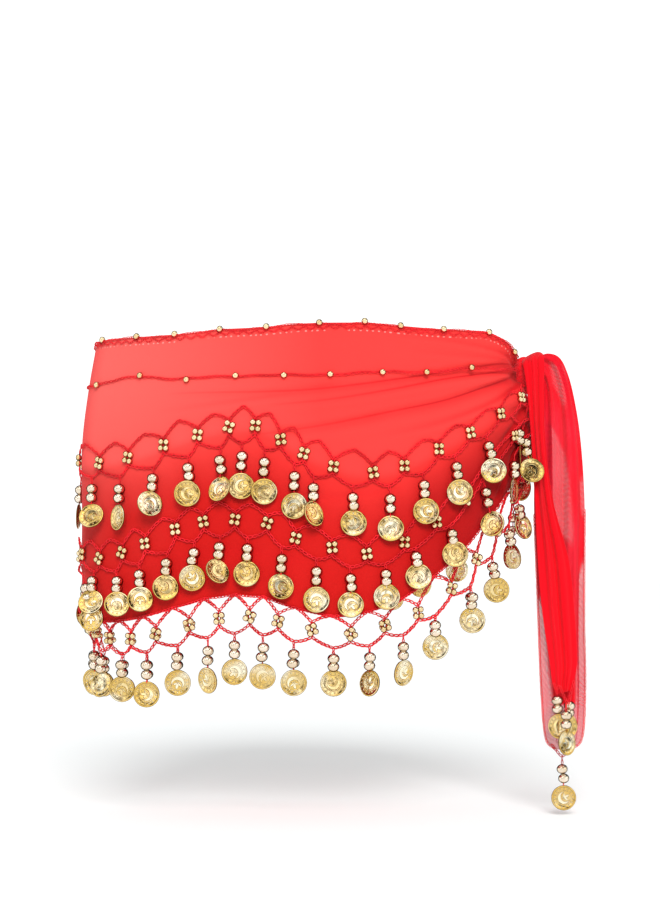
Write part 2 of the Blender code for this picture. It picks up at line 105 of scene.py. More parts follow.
def smooth(at, xs, ys):
    # a cubic through the rows of a table, with slopes taken from the neighbours
    at = np.asarray(at, float)
    xs, ys = np.asarray(xs, float), np.asarray(ys, float)
    slopes = np.gradient(ys, xs)
    i = np.clip(np.searchsorted(xs, at, side="right") - 1, 0, len(xs) - 2)
    step = xs[i + 1] - xs[i]
    t = held((at - xs[i]) / step)
    bend = t * (1 - t) ** 2 * (slopes[i] * step) - t * t * (1 - t) * (slopes[i + 1] * step)
    return ys[i] + (ys[i + 1] - ys[i]) * t * t * (3 - 2 * t) + bend


def roundHips(angle, level, wide):
    # an oval, deeper towards the hem: wide is its half width at the far hip, and the knot's side has its own
    down = held((hips["topLevel"] - level) / (hips["topLevel"] - hips["hemLevel"]))
    deep = hips["halfDepthTop"] + (hips["halfDepthHem"] - hips["halfDepthTop"]) * down
    toKnot = (1 + np.cos(angle)) / 2
    half = hips["halfWidthKnot"] * toKnot + wide * (1 - toKnot)
    flat = np.broadcast_arrays(half * np.cos(angle), -deep * np.sin(angle), level)
    return np.stack(flat, axis=-1)


ringAngles = np.linspace(0, 2 * math.pi, 1441)
ring = roundHips(ringAngles, hips["meanLevel"], hips["meanWidth"])
ringRun = runOf(ring)
fullRing = ringRun[-1]
knotBulge = {"out": 0.0120, "spread": 0.028, "top": -0.004, "full": -0.022, "low": -0.062, "end": -0.105}
hemCurl = {"in": 0.0125, "spread": 0.038, "from": -0.190, "to": -0.214}


def hipPoint(place, level):
    # under the knot the gathered cloth stands out towards the tie ends, over a short stretch; at the far hip
    # the net below the hem falls inwards
    wide = smooth(level, hips["farLevels"], hips["farWidths"])
    points = roundHips(np.interp(place, ringRun, ringAngles), level, wide)
    near = np.minimum(np.abs(place), np.abs(fullRing - place)) / knotBulge["spread"]
    heights = [knotBulge[key] for key in ("end", "low", "full", "top")]
    points[..., 0] += knotBulge["out"] * (bell(near) * smooth(level, heights, [0, 1, 1, 0]))
    fallen = held((hemCurl["from"] - level) / (hemCurl["from"] - hemCurl["to"]))
    points[..., 0] += hemCurl["in"] * fallen * bell((place - fullRing / 2) / hemCurl["spread"])
    return points


def hipFrame(place, level):
    # the point, and the directions along the hips, down the cloth and outwards
    step = hips["probe"]
    along = unit(hipPoint(place + step, level) - hipPoint(place - step, level))
    down = unit(hipPoint(place, level - step) - hipPoint(place, level + step))
    return hipPoint(place, level), along, down, unit(np.cross(along, down))


def twin(place):
    # the place on the front that hides a place on the back, and how much further off the back is
    place = np.asarray(place, float)
    viewX, viewY = camera["place"][:2]
    seen = (ring[:, 0] - viewX) / (ring[:, 1] - viewY)
    turn, start = int(np.argmin(seen)), int(np.argmax(seen[: int(np.argmin(seen))]))
    backSeen = np.interp(place, ringRun[turn:], seen[turn:])
    front = np.interp(-backSeen, -seen[start:turn], ringRun[start:turn])
    frontY = np.interp(front, ringRun, ring[:, 1])
    ratio = (np.interp(place, ringRun, ring[:, 1]) - viewY) / (frontY - viewY)
    onBack = place > ringRun[turn]
    return np.where(onBack, front, place), np.where(onBack, np.maximum(ratio, 1), 1.0)


def behind(place):
    # the place on the back that lies straight behind a place on the front
    grid = np.linspace(hips["halfRing"] + 0.002, fullRing - 0.004, 400)
    return np.interp(-np.asarray(place, float), -twin(grid)[0], grid)


def lower(level, ratio):
    # a height on the back that the viewer sees at the same height as one on the front
    return camera["place"][2] + (level - camera["place"][2]) * ratio


def line(name, place):
    front, ratio = twin(place)
    value = smooth(front, linePlaces, np.array(lineLevels[name]) * mm)
    return lower(value, ratio) if name == "hem" else value


def buildMesh(name, points, quads, materials, uv=None, materialIndex=None, smoothFaces=True):
    mesh = bpy.data.meshes.new(name)
    quads = np.asarray(quads)
    mesh.vertices.add(len(points))
    mesh.vertices.foreach_set("co", np.asarray(points, np.float32).ravel())
    mesh.loops.add(quads.size)
    mesh.loops.foreach_set("vertex_index", quads.astype(np.int32).ravel())
    mesh.polygons.add(len(quads))
    mesh.polygons.foreach_set("loop_start", np.arange(0, quads.size, 4, dtype=np.int32))
    mesh.update(calc_edges=True)
    if uv is not None:
        layer = mesh.uv_layers.new(name="place")
        layer.data.foreach_set("uv", np.asarray(uv, np.float32)[quads.ravel()].ravel())
    for material in materials:
        mesh.materials.append(material)
    if materialIndex is not None:
        mesh.polygons.foreach_set("material_index", np.asarray(materialIndex, np.int32))
    mesh.polygons.foreach_set("use_smooth", np.full(len(quads), smoothFaces))
    mesh.validate()
    return mesh


def addPiece(name, mesh, nodes):
    piece = bpy.data.objects.new(name, mesh)
    scene.collection.objects.link(piece)
    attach(piece, "root")
    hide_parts(*nodes)
    return piece


def gridQuads(rows, columns, closedColumns=False, closedRows=False):
    index = np.arange(rows * columns).reshape(rows, columns)
    if closedColumns:
        index = np.concatenate([index, index[:, :1]], axis=1)
    if closedRows:
        index = np.concatenate([index, index[:1]], axis=0)
    corners = index[:-1, :-1], index[:-1, 1:], index[1:, 1:], index[1:, :-1]
    return np.stack(corners, axis=-1).reshape(-1, 4)


def capQuads(first, count):
    # closes a ring of an even number of points with four-cornered faces
    starts = np.arange(1, count - 2, 2)
    return np.stack([np.zeros_like(starts), starts, starts + 1, starts + 2], axis=-1) + first


def tubeQuads(rows, sides):
    # rings of points one after another, closed round about and at both ends
    caps = capQuads(0, sides)[:, ::-1], capQuads((rows - 1) * sides, sides)
    return np.concatenate([gridQuads(rows, sides, True), *caps])


def turnedShape(profile, sides):
    # a closed shape turned about its own y axis, from a profile of (radius, height) rows
    radius, height = np.array(profile, float).T
    angle = roundAngles(sides)
    x = radius[:, None] * np.cos(angle)
    z = radius[:, None] * np.sin(angle)
    y = np.broadcast_to(height[:, None], x.shape)
    return np.stack([x, y, z], axis=-1).reshape(-1, 3), tubeQuads(len(profile), sides)


def spreadCopies(shape, places, axes, scales):
    # copies of a shape, each carried to a place with three axes of its own and a size along each axis
    points, quads = shape
    moved = places[:, None, :] + np.einsum("pk,nk,nkj->npj", points, scales, axes)
    step = np.arange(len(places))[:, None, None] * len(points)
    return moved.reshape(-1, 3), (quads[None] + step).reshape(-1, 4)


class Heap:
    # gathers groups of copies into one mesh, each group with a finish
    def __init__(self):
        self.points, self.quads, self.finish, self.uv, self.count = [], [], [], [], 0

    def add(self, points, quads, finish, uv=None):
        self.points.append(points)
        self.quads.append(quads + self.count)
        self.finish.append(np.full(len(quads), finish))
        self.uv.append(np.zeros((len(points), 2)) if uv is None else uv)
        self.count += len(points)

    def mesh(self, name, materials):
        every = [np.concatenate(part) for part in (self.points, self.quads, self.uv, self.finish)]
        return buildMesh(name, every[0], every[1], materials, every[2], every[3])


class Signal:
    # a value that changes over a surface and takes part in sums: each sum adds a Math node
    def __init__(self, tree, socket):
        self.tree, self.socket = tree, socket

    def do(self, operation, *others):
        return calc(self.tree, operation, self, *others)

    def __add__(self, other):
        return self.do("ADD", other)

    def __sub__(self, other):
        return self.do("SUBTRACT", other)

    def __rsub__(self, other):
        return calc(self.tree, "SUBTRACT", other, self)

    def __mul__(self, other):
        return self.do("MULTIPLY", other)

    def __truediv__(self, other):
        return self.do("DIVIDE", other)

    def __pow__(self, other):
        return self.do("POWER", other)

    def __abs__(self):
        return self.do("ABSOLUTE")


def join(tree, value, socket):
    if isinstance(value, Signal):
        tree.links.new(value.socket, socket)
    else:
        socket.default_value = value


def addNode(tree, kind, inputs=None, **settings):
    # a node with its settings, and its inputs set or linked by name or number
    node = tree.nodes.new("ShaderNode" + kind)
    for title, value in settings.items():
        setattr(node, title, value)
    for key, value in (inputs or {}).items():
        join(tree, value, node.inputs[key])
    return node


def calc(tree, operation, *values):
    return Signal(tree, addNode(tree, "Math", dict(enumerate(values)), operation=operation).outputs[0])


def highest(first, *others):
    for other in others:
        first = first.do("MAXIMUM", other)
    return first


def mixColours(share, first, second):
    node = addNode(share.tree, "Mix", {"Factor": share, "A": first, "B": second}, data_type="RGBA")
    return Signal(share.tree, node.outputs["Result"])


def noise(vector, scale, detail):
    node = addNode(vector.tree, "TexNoise", {"Scale": scale, "Detail": detail, "Vector": vector})
    return Signal(vector.tree, node.outputs["Fac"])


def window(value, low, high):
    # 0 below low, 1 above high and a soft step between
    inputs = {"Value": value, "From Min": low, "From Max": high}
    node = addNode(value.tree, "MapRange", inputs, interpolation_type="SMOOTHSTEP")
    return Signal(value.tree, node.outputs["Result"])


def parted(vector):
    node = addNode(vector.tree, "SeparateXYZ", {0: vector})
    return [Signal(vector.tree, socket) for socket in node.outputs]


def newGroup(name, given, made):
    # a node group with named numbers going in and coming out
    group = bpy.data.node_groups.new(name, "ShaderNodeTree")
    for way, titles in (("INPUT", given), ("OUTPUT", made)):
        for title in titles:
            group.interface.new_socket(title, in_out=way, socket_type="NodeSocketFloat")
    source = group.nodes.new("NodeGroupInput").outputs
    signals = {title: Signal(group, source[title]) for title in given}
    return group, signals, group.nodes.new("NodeGroupOutput").inputs


def useGroup(tree, group, **given):
    node = addNode(tree, "Group", given, node_tree=group)
    return {socket.name: Signal(tree, socket) for socket in node.outputs}


def newMaterial(name, inputs):
    material = bpy.data.materials.new(name)
    material.use_nodes = True
    tree = material.node_tree
    shader = tree.nodes["Principled BSDF"]
    for title, value in inputs.items():
        join(tree, value, shader.inputs[title])
    return material, tree, shader.inputs


def addBump(tree, shader, height, strength, distance):
    bump = addNode(tree, "Bump", {"Strength": strength, "Distance": distance, "Height": height})
    join(tree, Signal(tree, bump.outputs["Normal"]), shader["Normal"])


def objectPlace(tree):
    return Signal(tree, addNode(tree, "TexCoord").outputs["Object"])


def fieldOf(tree, name, output="Fac"):
    # a value kept on the points of the mesh
    return Signal(tree, addNode(tree, "Attribute", attribute_name=name).outputs[output])


def edgeShare(tree, low, high):
    # 0 where the surface faces the viewer, 1 at its outline
    return window(Signal(tree, addNode(tree, "LayerWeight", {"Blend": 0.5}).outputs["Facing"]), low, high)


def placeMap(tree):
    # the piece's own map, and its two directions: on cloth the place along it and the drop below its top edge,
    # in metres, and on a coin its face, with the middle at 0.5
    uv = Signal(tree, addNode(tree, "UVMap", uv_map="place").outputs["UV"])
    return uv, *parted(uv)[:2]


chiffon = {
    "upper": (0.84, 0.042, 0.038, 1),
    "pale": (0.86, 0.112, 0.098, 1),
    "lower": (0.50, 0.007, 0.006, 1),
    "turned": (0.80, 0.022, 0.026, 1),
    # denser cloth in the gathers and folds, with painted shade in them
    "fold": (0.62, 0.006, 0.012, 1),
    # painted shade at and under the knot, under the net on the knot's side and in the deepest folds
    "deepShade": (0.30, 0.002, 0.004, 1),
    # painted shade along the lines where the main folds turn under
    "crease": (0.46, 0.003, 0.008, 1),
    "creaseWidth": 1.15,
    "turnedFrom": 0.45,
    "turnedTo": 0.95,
    "turnedShare": 0.7,
    "cloudy": 0.35,
    "threads": 0.12,
    "threadPitch": 0.0006,
    "crinkle": 260,
    "clouds": 14,
    "specular": 0.15,
}
stitches = {
    "colour": (1.0, 0.42, 0.38, 1), "pitch": 0.0048, "drop": 0.0058, "uneven": 1.2, "narrow": 5.2, "half": 0.0006,
    "strength": 0.5,
}


def weaveGroup():
    # two crossed sets of fine threads over a crinkle
    group, given, out = newGroup("chiffonWeave", ["Threads"], ["Height", "Cloudy"])
    where = objectPlace(group)
    _, across, drop = placeMap(group)
    turns = 2 * math.pi / chiffon["threadPitch"]
    threads = ((across * turns).do("SINE") + (drop * turns).do("SINE")) * given["Threads"]
    join(group, threads + noise(where, chiffon["crinkle"], 3), out["Height"])
    join(group, noise(where, chiffon["clouds"], 2), out["Cloudy"])
    return group


weave = weaveGroup()


def creaseLines(tree):
    # painted shade: thin dark lines where the three main folds turn under, from each line's distance off and its
    # strength
    offs, strengths = [parted(fieldOf(tree, name, "Vector")) for name in ("creaseOff", "creaseStrength")]
    return highest(*[
        (1.0 - window(abs(off) / chiffon["creaseWidth"], 0.1, 1.0)) * strength
        for off, strength in zip(offs, strengths)
    ])


def stitchRow(uv, place, drop):
    # small stitches under the top edge, uneven in length, with some that hardly show
    step = place / stitches["pitch"] + noise(uv, 90, 1) * stitches["uneven"]
    along = abs(step.do("FRACT") - 0.5)
    off = abs(drop - stitches["drop"])
    dot = 1.0 - window((along * stitches["narrow"]) ** 2 + (off / stitches["half"]) ** 2, 0.5, 1.3)
    return dot * window(noise(uv, 35, 1), 0.36, 0.50) * stitches["strength"]


def wrapFinish():
    material, tree, shader = newMaterial("red_chiffon", {
        "Roughness": 0.78, "Sheen Weight": 0.14, "Sheen Roughness": 0.5, "Sheen Tint": (1, 0.35, 0.32, 1),
        "Specular IOR Level": chiffon["specular"],
    })
    cloth = useGroup(tree, weave, Threads=chiffon["threads"])
    deeper = window(fieldOf(tree, "deeper") + (cloth["Cloudy"] - 0.5) * chiffon["cloudy"], 0.0, 1.0)
    colour = mixColours(fieldOf(tree, "pale"), chiffon["upper"], chiffon["pale"])
    # darker, deeper red where the cloth turns away from the viewer
    turned = edgeShare(tree, chiffon["turnedFrom"], chiffon["turnedTo"]) * chiffon["turnedShare"]
    colour = mixColours(turned, colour, chiffon["turned"])
    colour = mixColours(deeper, colour, chiffon["lower"])
    # doubled cloth in the gathers and folds and close to the knot, with painted shade there
    colour = mixColours(fieldOf(tree, "gathered"), colour, chiffon["fold"])
    # painted shade along the three main fold lines
    colour = mixColours(creaseLines(tree), colour, chiffon["crease"])
    # painted shade at and under the knot, under the net on the knot's side and in the deepest folds
    colour = mixColours(fieldOf(tree, "shaded"), colour, chiffon["deepShade"])
    colour = mixColours(stitchRow(*placeMap(tree)), colour, stitches["colour"])
    join(tree, colour, shader["Base Color"])
    addBump(tree, shader, cloth["Height"], 0.35, 0.0004)
    return material


tieLook = {
    "doubled": (0.73, 0.002, 0.010, 1),
    "single": (0.74, 0.012, 0.032, 1),
    "thinnest": (0.68, 0.012, 0.036, 1),
    "dense": 0.93,
    "thin": 0.50,
    "cloudy": 0.18,
    "moire": 0.07,
    "waveScale": 140,
    "waveBend": 60,
    "waveReach": 0.10,
}


def tieFinish(name, base):
    # chiffon that is dense where its layers lie together; where it is sheer, fine curved bands let a little more
    # or less light through, as the threads of two layers do
    material, tree, shader = newMaterial(name, {
        "Roughness": 0.7, "Sheen Weight": 0.08, "Specular IOR Level": chiffon["specular"],
    })
    cloth = useGroup(tree, weave, Threads=chiffon["threads"])
    sheer = fieldOf(tree, "sheer")
    wave = addNode(tree, "TexWave", {
        "Vector": objectPlace(tree), "Scale": tieLook["waveScale"], "Distortion": tieLook["waveBend"], "Detail": 0,
        "Detail Scale": tieLook["waveReach"],
    }, bands_direction="DIAGONAL")
    band = (Signal(tree, wave.outputs["Fac"]) - 0.5) * tieLook["moire"] * window(sheer, 0.05, 0.35)
    see = tieLook["dense"] - (sheer * (tieLook["dense"] - tieLook["thin"]) + band)
    join(tree, (see + (cloth["Cloudy"] - 0.5) * tieLook["cloudy"]).do("MINIMUM", 1.0), shader["Alpha"])
    colour = mixColours(window(cloth["Cloudy"], 0.3, 0.7), base, tieLook["doubled"])
    join(tree, mixColours(sheer, colour, tieLook["thinnest"]), shader["Base Color"])
    addBump(tree, shader, cloth["Height"], 0.4, 0.0005)
    return material


def threadFinish():
    material, tree, shader = newMaterial("red_cotton_thread", {"Roughness": 0.7})
    where = objectPlace(tree)
    tone = window(noise(where, 45, 2), 0.3, 0.7)
    join(tree, mixColours(tone, (0.56, 0.004, 0.010, 1), (0.80, 0.010, 0.020, 1)), shader["Base Color"])
    addBump(tree, shader, noise(where, 1800, 2), 0.5, 0.0003)
    return material


# a painted dark reflection at a bead's outline, in its colour and its edge tint
beadEdgeDarkReflection = (0.10, 0.055, 0.022, 1)


def beadFinish(name, light, dark, roughness):
    # polished metal with a painted dark reflection towards its outline
    material, tree, shader = newMaterial(name, {"Metallic": 1.0, "Specular Tint": beadEdgeDarkReflection})
    where = objectPlace(tree)
    tone = mixColours(window(noise(where, 60, 2), 0.35, 0.65), light, dark)
    join(tree, mixColours(edgeShare(tree, 0.34, 0.72), tone, beadEdgeDarkReflection), shader["Base Color"])
    join(tree, noise(where, 900, 2) * 0.08 + roughness, shader["Roughness"])
    addBump(tree, shader, noise(where, 700, 1), 0.12, 0.0004)
    return material


coinLook = {
    # near white: a painted reflection of coins that catch the light
    "pale": (1.0, 0.93, 0.70, 1),
    "light": (0.86, 0.67, 0.33, 1),
    "deep": (0.78, 0.53, 0.15, 1),
    "outline": (0.22, 0.12, 0.03, 1),
    "dots": 15,
    "dotRing": 0.74,
    "dotSize": 0.075,
    "innerRing": 0.60,
    "crescentOut": 0.50,  # its outer edge, about the coin's middle
    "crescentIn": 0.39,  # its inner edge, about the rosette's middle
    "rosetteAt": 0.17,
    "petals": 6,
    "groove": 0.86,
    "hammered": 0.6,
}


def coinGroup():
    # relief of a stage coin on its own map, in shares of its radius: a ring of dots, a thin ring, a crescent and
    # a rosette, over a field that is a little hammered, and a dark groove inside the rim
    group, given, out = newGroup("coinRelief", ["Hammered"], ["Height", "Recess", "Edge"])
    uv, u, v = placeMap(group)
    x, y = (u - 0.5) * 2.0, (v - 0.5) * 2.0
    radius = (x * x + y * y).do("SQRT")
    angle = y.do("ARCTAN2", x)
    apart = 2 * math.pi / coinLook["dots"]
    side = ((angle * (1 / apart)).do("FRACT") - 0.5) * (apart * coinLook["dotRing"])
    off = radius - coinLook["dotRing"]
    dots = 1.0 - window((side * side + off * off).do("SQRT"), coinLook["dotSize"] * 0.4, coinLook["dotSize"])
    thinRing = 1.0 - window(abs(radius - coinLook["innerRing"]), 0.01, 0.035)
    fromRosette = x - coinLook["rosetteAt"]
    offset = (fromRosette * fromRosette + y * y).do("SQRT")
    outer, inner = coinLook["crescentOut"], coinLook["crescentIn"]
    crescent = (1.0 - window(radius, outer - 0.03, outer + 0.02)) * window(offset, inner - 0.03, inner + 0.03)
    petal = ((angle * coinLook["petals"]).do("COSINE") + 2.2) * 0.10
    rosette = 1.0 - window(offset - petal, -0.06, 0.03)
    parts = highest(dots, thinRing * 0.6, crescent, rosette)
    groove = 1.0 - window(abs(radius - coinLook["groove"]), 0.01, 0.045)
    join(group, parts + noise(uv, 3.2, 0.5) * given["Hammered"], out["Height"])
    join(group, 1.0 - parts, out["Recess"])
    join(group, highest(window(radius, 0.94, 0.99), groove * 0.6), out["Edge"])
    return group


def coinFinish():
    material, tree, shader = newMaterial("gold_coin", {"Metallic": 1.0})
    relief = useGroup(tree, coinGroup(), Hammered=coinLook["hammered"])
    where = objectPlace(tree)
    # some coins, or a side of them, are paler than the rest: a painted reflection, as of coins that catch the light
    field = mixColours(window(noise(where, 42, 0), 0.40, 0.58), coinLook["light"], coinLook["pale"])
    recess = relief["Recess"] * window(noise(where, 70, 2), 0.30, 0.60)
    colour = mixColours(relief["Edge"], mixColours(recess, field, coinLook["deep"]), coinLook["outline"])
    join(tree, colour, shader["Base Color"])
    join(tree, noise(where, 500, 2) * 0.14 + 0.06, shader["Roughness"])
    addBump(tree, shader, relief["Height"], 0.8, 0.0008)
    return material


finishes = {
    "wrap": wrapFinish(),
    "frontTie": tieFinish("red_chiffon_doubled", tieLook["doubled"]),
    "rearTie": tieFinish("red_chiffon_sheer", tieLook["single"]),
    "thread": threadFinish(),
    "smallBead": beadFinish("pale_gold_bead", (0.97, 0.80, 0.50, 1), (0.82, 0.62, 0.32, 1), 0.12),
    "largeBead": beadFinish("champagne_bead", (0.95, 0.84, 0.70, 1), (0.80, 0.66, 0.48, 1), 0.04),
    "coin": coinFinish(),
}
print("finishes made")

cloth = {
    "columns": 330,
    "rows": 120,
    "crowded": 1.15,  # columns lie closer together near the knot
    "thick": 0.0005,
    "lap": 0.003,  # how far the front and the back run past each other at the far hip
    "lapDepth": 0.0010,  # how far the back lies in under the front there, and over what length
    "lapRun": 0.008,
    "start": 0.0110,  # where the cloth goes into the knot
    "inset": 0.0003,
    "proud": 0.0008,  # the most that a ridge stands out
}
# main gathers near the knot: how far down the cloth, how deep, how wide, and how far they reach
gathers = (
    (0.09, 2.6, 0.032, 60), (0.20, 1.8, 0.038, 230), (0.33, 2.2, 0.042, 190),
    (0.47, 3.4, 0.045, 75), (0.62, 3.2, 0.048, 60), (0.78, 3.0, 0.052, 50),
)
waves = {"from": 0.45, "deep": 0.0015, "pitch": 0.083, "turn": 0.6}
# fold lines: places and heights along each, its depth, and its width above and below the line
frontFolds = (
    ((16, 41, 72, 131, 199, 320), (4, 3, -1.5, -11.8, -21.2, -24), 2.3, 2.2, 5.5),
    ((16, 41, 101, 145, 199, 240), (1.5, -2.8, -12.1, -21.3, -30.3, -34), 2.2, 4.5, 3.0),
    ((16, 59, 101, 145, 199, 262), (-3, -15.7, -28.4, -37.9, -49.1, -58), 4.0, 2.4, 6.5),
    ((16, 47, 79, 114, 150), (-9.5, -24.3, -36.8, -47.9, -56), 2.6, 5.0, 2.6),
    ((184, 222, 262, 330), (-18.1, -24.3, -30, -38), 1.4, 4.0, 3.0),
    ((150, 185, 221, 250), (-41, -47.5, -52.9, -57), 1.4, 2.0, 4.0),
    ((15, 40, 69, 105, 150), (8, 11.5, 15.3, 18.8, 20.5), 1.6, 3.0, 2.5),
    ((15, 45, 90, 130), (6.5, 6.8, 7.5, 8.5), 1.4, 3.5, 3.0),
    ((14, 30, 52, 80, 118), (-22, -42, -70, -98, -128), 1.8, 5.0, 3.0),
    ((14, 26, 42, 60, 85), (-34, -58, -88, -112, -138), 1.8, 3.0, 5.0),
    ((140, 190, 250, 300), (-96, -103, -101, -92), 0.7, 7.0, 4.0),
    ((210, 260, 330, 392), (-150, -143, -149, -163), 0.7, 5.0, 8.0),
)
backFolds = (
    ((16, 50, 96, 150, 215, 300), (3, -2, -7.5, -17, -26, -30), 1.7, 2.4, 5.0),
    ((16, 62, 118, 170, 228), (-4, -14, -26, -39.5, -46), 2.6, 2.6, 6.0),
    ((16, 44, 92, 128), (-10, -26, -43, -52), 2.0, 4.5, 2.8),
    ((16, 40, 84, 120), (7.5, 11, 16, 18), 1.1, 3.0, 2.5),
    ((14, 34, 60, 96), (-26, -50, -82, -117), 1.9, 3.5, 4.5),
    ((170, 230, 290, 345), (-58, -66, -64, -72), 0.9, 5.0, 3.5),
    ((120, 190, 250, 330), (-140, -152, -146, -158), 0.8, 6.0, 7.0),
)
foldLook = {
    "rise": 8,  # how fast a fold deepens from its end at the knot, and what it starts with
    "first": 0.4,
    "fade": 0.75,
    "ridge": 0.45,  # the ridge under a fold: its share of the depth, and its place and width in widths below
    "ridgeAt": 1.7,
    "ridgeWide": 1.1,
    "sharpAbove": 0.55,
    "sharpBelow": 0.8,
    "full": 2.6,  # a fold this deep is coloured in full
}


def foldPlace(fold, side, level):
    # how far off a fold line a point is, in millimetres and upwards, and how much of the fold is left there
    run = np.array(fold[0]) * mm
    off = (level - smooth(side, run, np.array(fold[1]) * mm)) / mm
    share = (side - run[0]) / (run[-1] - run[0])
    return off, held(share * foldLook["rise"] + foldLook["first"]) * held(1 - share) ** foldLook["fade"]


def drawnIn(place, down, level):
    # how far the cloth is drawn in: wide gathers that fade off the knot, soft upright waves in the free
    # lower part, and a steep dip with a low ridge beside it along each fold line
    near = np.minimum(place, fullRing - place)
    drawn = np.zeros(np.broadcast(place, down).shape)
    for at, deep, wide, reach in gathers:
        fade = held(1 - (near - cloth["start"]) / (reach * mm)) ** 1.5
        drawn = drawn + deep * mm * fade * bell((down - at) / (wide * (0.7 + 0.6 * held(near / 0.15))))
    share = held((down - waves["from"]) / (1 - waves["from"]))
    wave = 0.5 + 0.5 * np.sin(2 * math.pi * place / waves["pitch"] + waves["turn"])
    drawn = drawn + waves["deep"] * share * wave
    dips = np.zeros_like(drawn)
    for side, folds in ((place, frontFolds), (fullRing - place, backFolds)):
        for fold in folds:
            deep, above, under = fold[2:]
            off, left = foldPlace(fold, side, level)
            ridge = bell((off + foldLook["ridgeAt"] * under) / (foldLook["ridgeWide"] * under))
            dip = bell(off / np.where(off > 0, above, under)) - foldLook["ridge"] * ridge
            drawn = drawn + deep * mm * left * dip
            steep = np.where(off > 0, foldLook["sharpAbove"] * above, foldLook["sharpBelow"] * under)
            dips = np.maximum(dips, left * bell(off / steep) * min(1.0, deep / foldLook["full"]))
    return drawn, dips


def clothPoint(place, down, onBack):
    top, hem = line("top", place), line("hem", place)
    level = top + down * (hem - top)
    point, _, _, out = hipFrame(place, level)
    drawn, dips = drawnIn(place, down, level)
    inward = np.maximum(drawn, -cloth["proud"]) + cloth["inset"]
    if onBack:
        inward = inward + cloth["lapDepth"] * held(1.6 - (place - hips["halfRing"]) / cloth["lapRun"])
    return point - out * inward[..., None], level, dips


def setAttribute(mesh, name, values):
    # one number for each point, or three of them where the values have a last axis of three
    triple = values.ndim == 3
    layer = mesh.attributes.new(name, "FLOAT_VECTOR" if triple else "FLOAT", "POINT")
    layer.data.foreach_set("vector" if triple else "value", np.asarray(values, np.float32).ravel())


def addWall(piece, thick, offset):
    wall = piece.modifiers.new("wall", "SOLIDIFY")
    wall.thickness = thick
    wall.offset = offset


shading = {
    "netDrop": 0.004,  # the cloth deepens from here under the upper net, at once and then more over two lengths
    "edge": 0.008,
    "atOnce": 0.42,
    "more": ((0.33, 0.045), (0.25, 0.10)),
    "paleFrom": 0.20,
    "paleRun": 0.19,
    "gatherRun": 0.060,
    "pinchAt": (0.010, -0.004),  # place and height of the painted shadow in the pinch at the knot, and its reach
    "pinchRun": (0.016, 0.010),
    # painted shade under the knot, and under the net on the knot's side
    "underRun": 0.026,
    "beneathFrom": 0.17,
    "beneath": 0.72,
    # how strong the painted shade along the fold lines is
    "crease": 0.85,
}


def clothFields(near, below, level, dips, folds):
    # what the finish reads: deeper below the upper net, paler far from the knot and high up, denser in the
    # gathers and folds with painted shade in them, painted shade at and under the knot, under the net on the
    # knot's side and in the deepest folds, and the lines of the three main folds, where shade is painted
    more = sum(share * held(below / run) for share, run in shading["more"])
    (pinchPlace, pinchLevel), (alongRun, downRun) = shading["pinchAt"], shading["pinchRun"]
    pinched = bell((near - pinchPlace) / alongRun) * bell((level - pinchLevel) / downRun)
    under = bell(near / shading["underRun"]) * held((-0.016 - level) / 0.010)
    beneath = held((shading["beneathFrom"] - near) / 0.10) * held(below / 0.03)
    lines = [foldPlace(fold, near, level) for fold in folds[:3]]
    return {
        "deeper": held(below / shading["edge"] + 0.8) * (shading["atOnce"] + more),
        "pale": held((near - shading["paleFrom"]) / shading["paleRun"]) * (1 - 0.3 * held((-0.02 - level) / 0.05)),
        # denser cloth and painted shade in the folds and close to the knot
        "gathered": held(0.55 * dips + 0.8 * held(1.1 - near / shading["gatherRun"]) ** 1.5),
        "shaded": held(0.9 * pinched + 0.75 * under + shading["beneath"] * beneath + 0.22 * dips**2),
        "creaseOff": np.stack([np.clip(off, -30, 30) for off, _ in lines], axis=-1),
        "creaseStrength": np.stack([shading["crease"] * left + 0 * off for off, left in lines], axis=-1),
    }


def wrapPiece(name, start, end, onBack, nodes):
    spread = np.linspace(0, 1, cloth["columns"])
    spread = 1 - (1 - spread) ** cloth["crowded"] if onBack else spread ** cloth["crowded"]
    place = (start + (end - start) * spread)[None, :]
    down = np.linspace(0, 1, cloth["rows"])[:, None]
    points, level, dips = clothPoint(place, down, onBack)
    drop = line("top", place) - level
    flat = np.stack([np.broadcast_to(place, drop.shape), drop], axis=-1).reshape(-1, 2)
    mesh = buildMesh(name, points.reshape(-1, 3), gridQuads(*drop.shape), [finishes["wrap"]], flat)
    near = np.minimum(place, fullRing - place)
    below = line("upper", place) - shading["netDrop"] - level
    for title, values in clothFields(near, below, level, dips, backFolds if onBack else frontFolds).items():
        setAttribute(mesh, title, values)
    piece = addPiece(name, mesh, nodes)
    addWall(piece, cloth["thick"], -1)
    return piece


frontEnd, backStart = hips["halfRing"] + cloth["lap"], hips["halfRing"] - cloth["lap"]
frontWrap = wrapPiece("wrap_front_chiffon", cloth["start"], frontEnd, False, ["wrap_front"])
backWrap = wrapPiece("wrap_back_chiffon", backStart, fullRing - cloth["start"], True, ["wrap_back"])
print("cloth laid")

knotShape = {
    "centre": (0.1786, 0.0, -0.0033), "half": (0.0117, 0.0111, 0.0155), "pleats": 9, "depth": 0.10, "twist": 1.6,
    "rings": 60, "sides": 144, "fine": 0.35, "finePleats": 17, "fineTwist": 2.4,
}


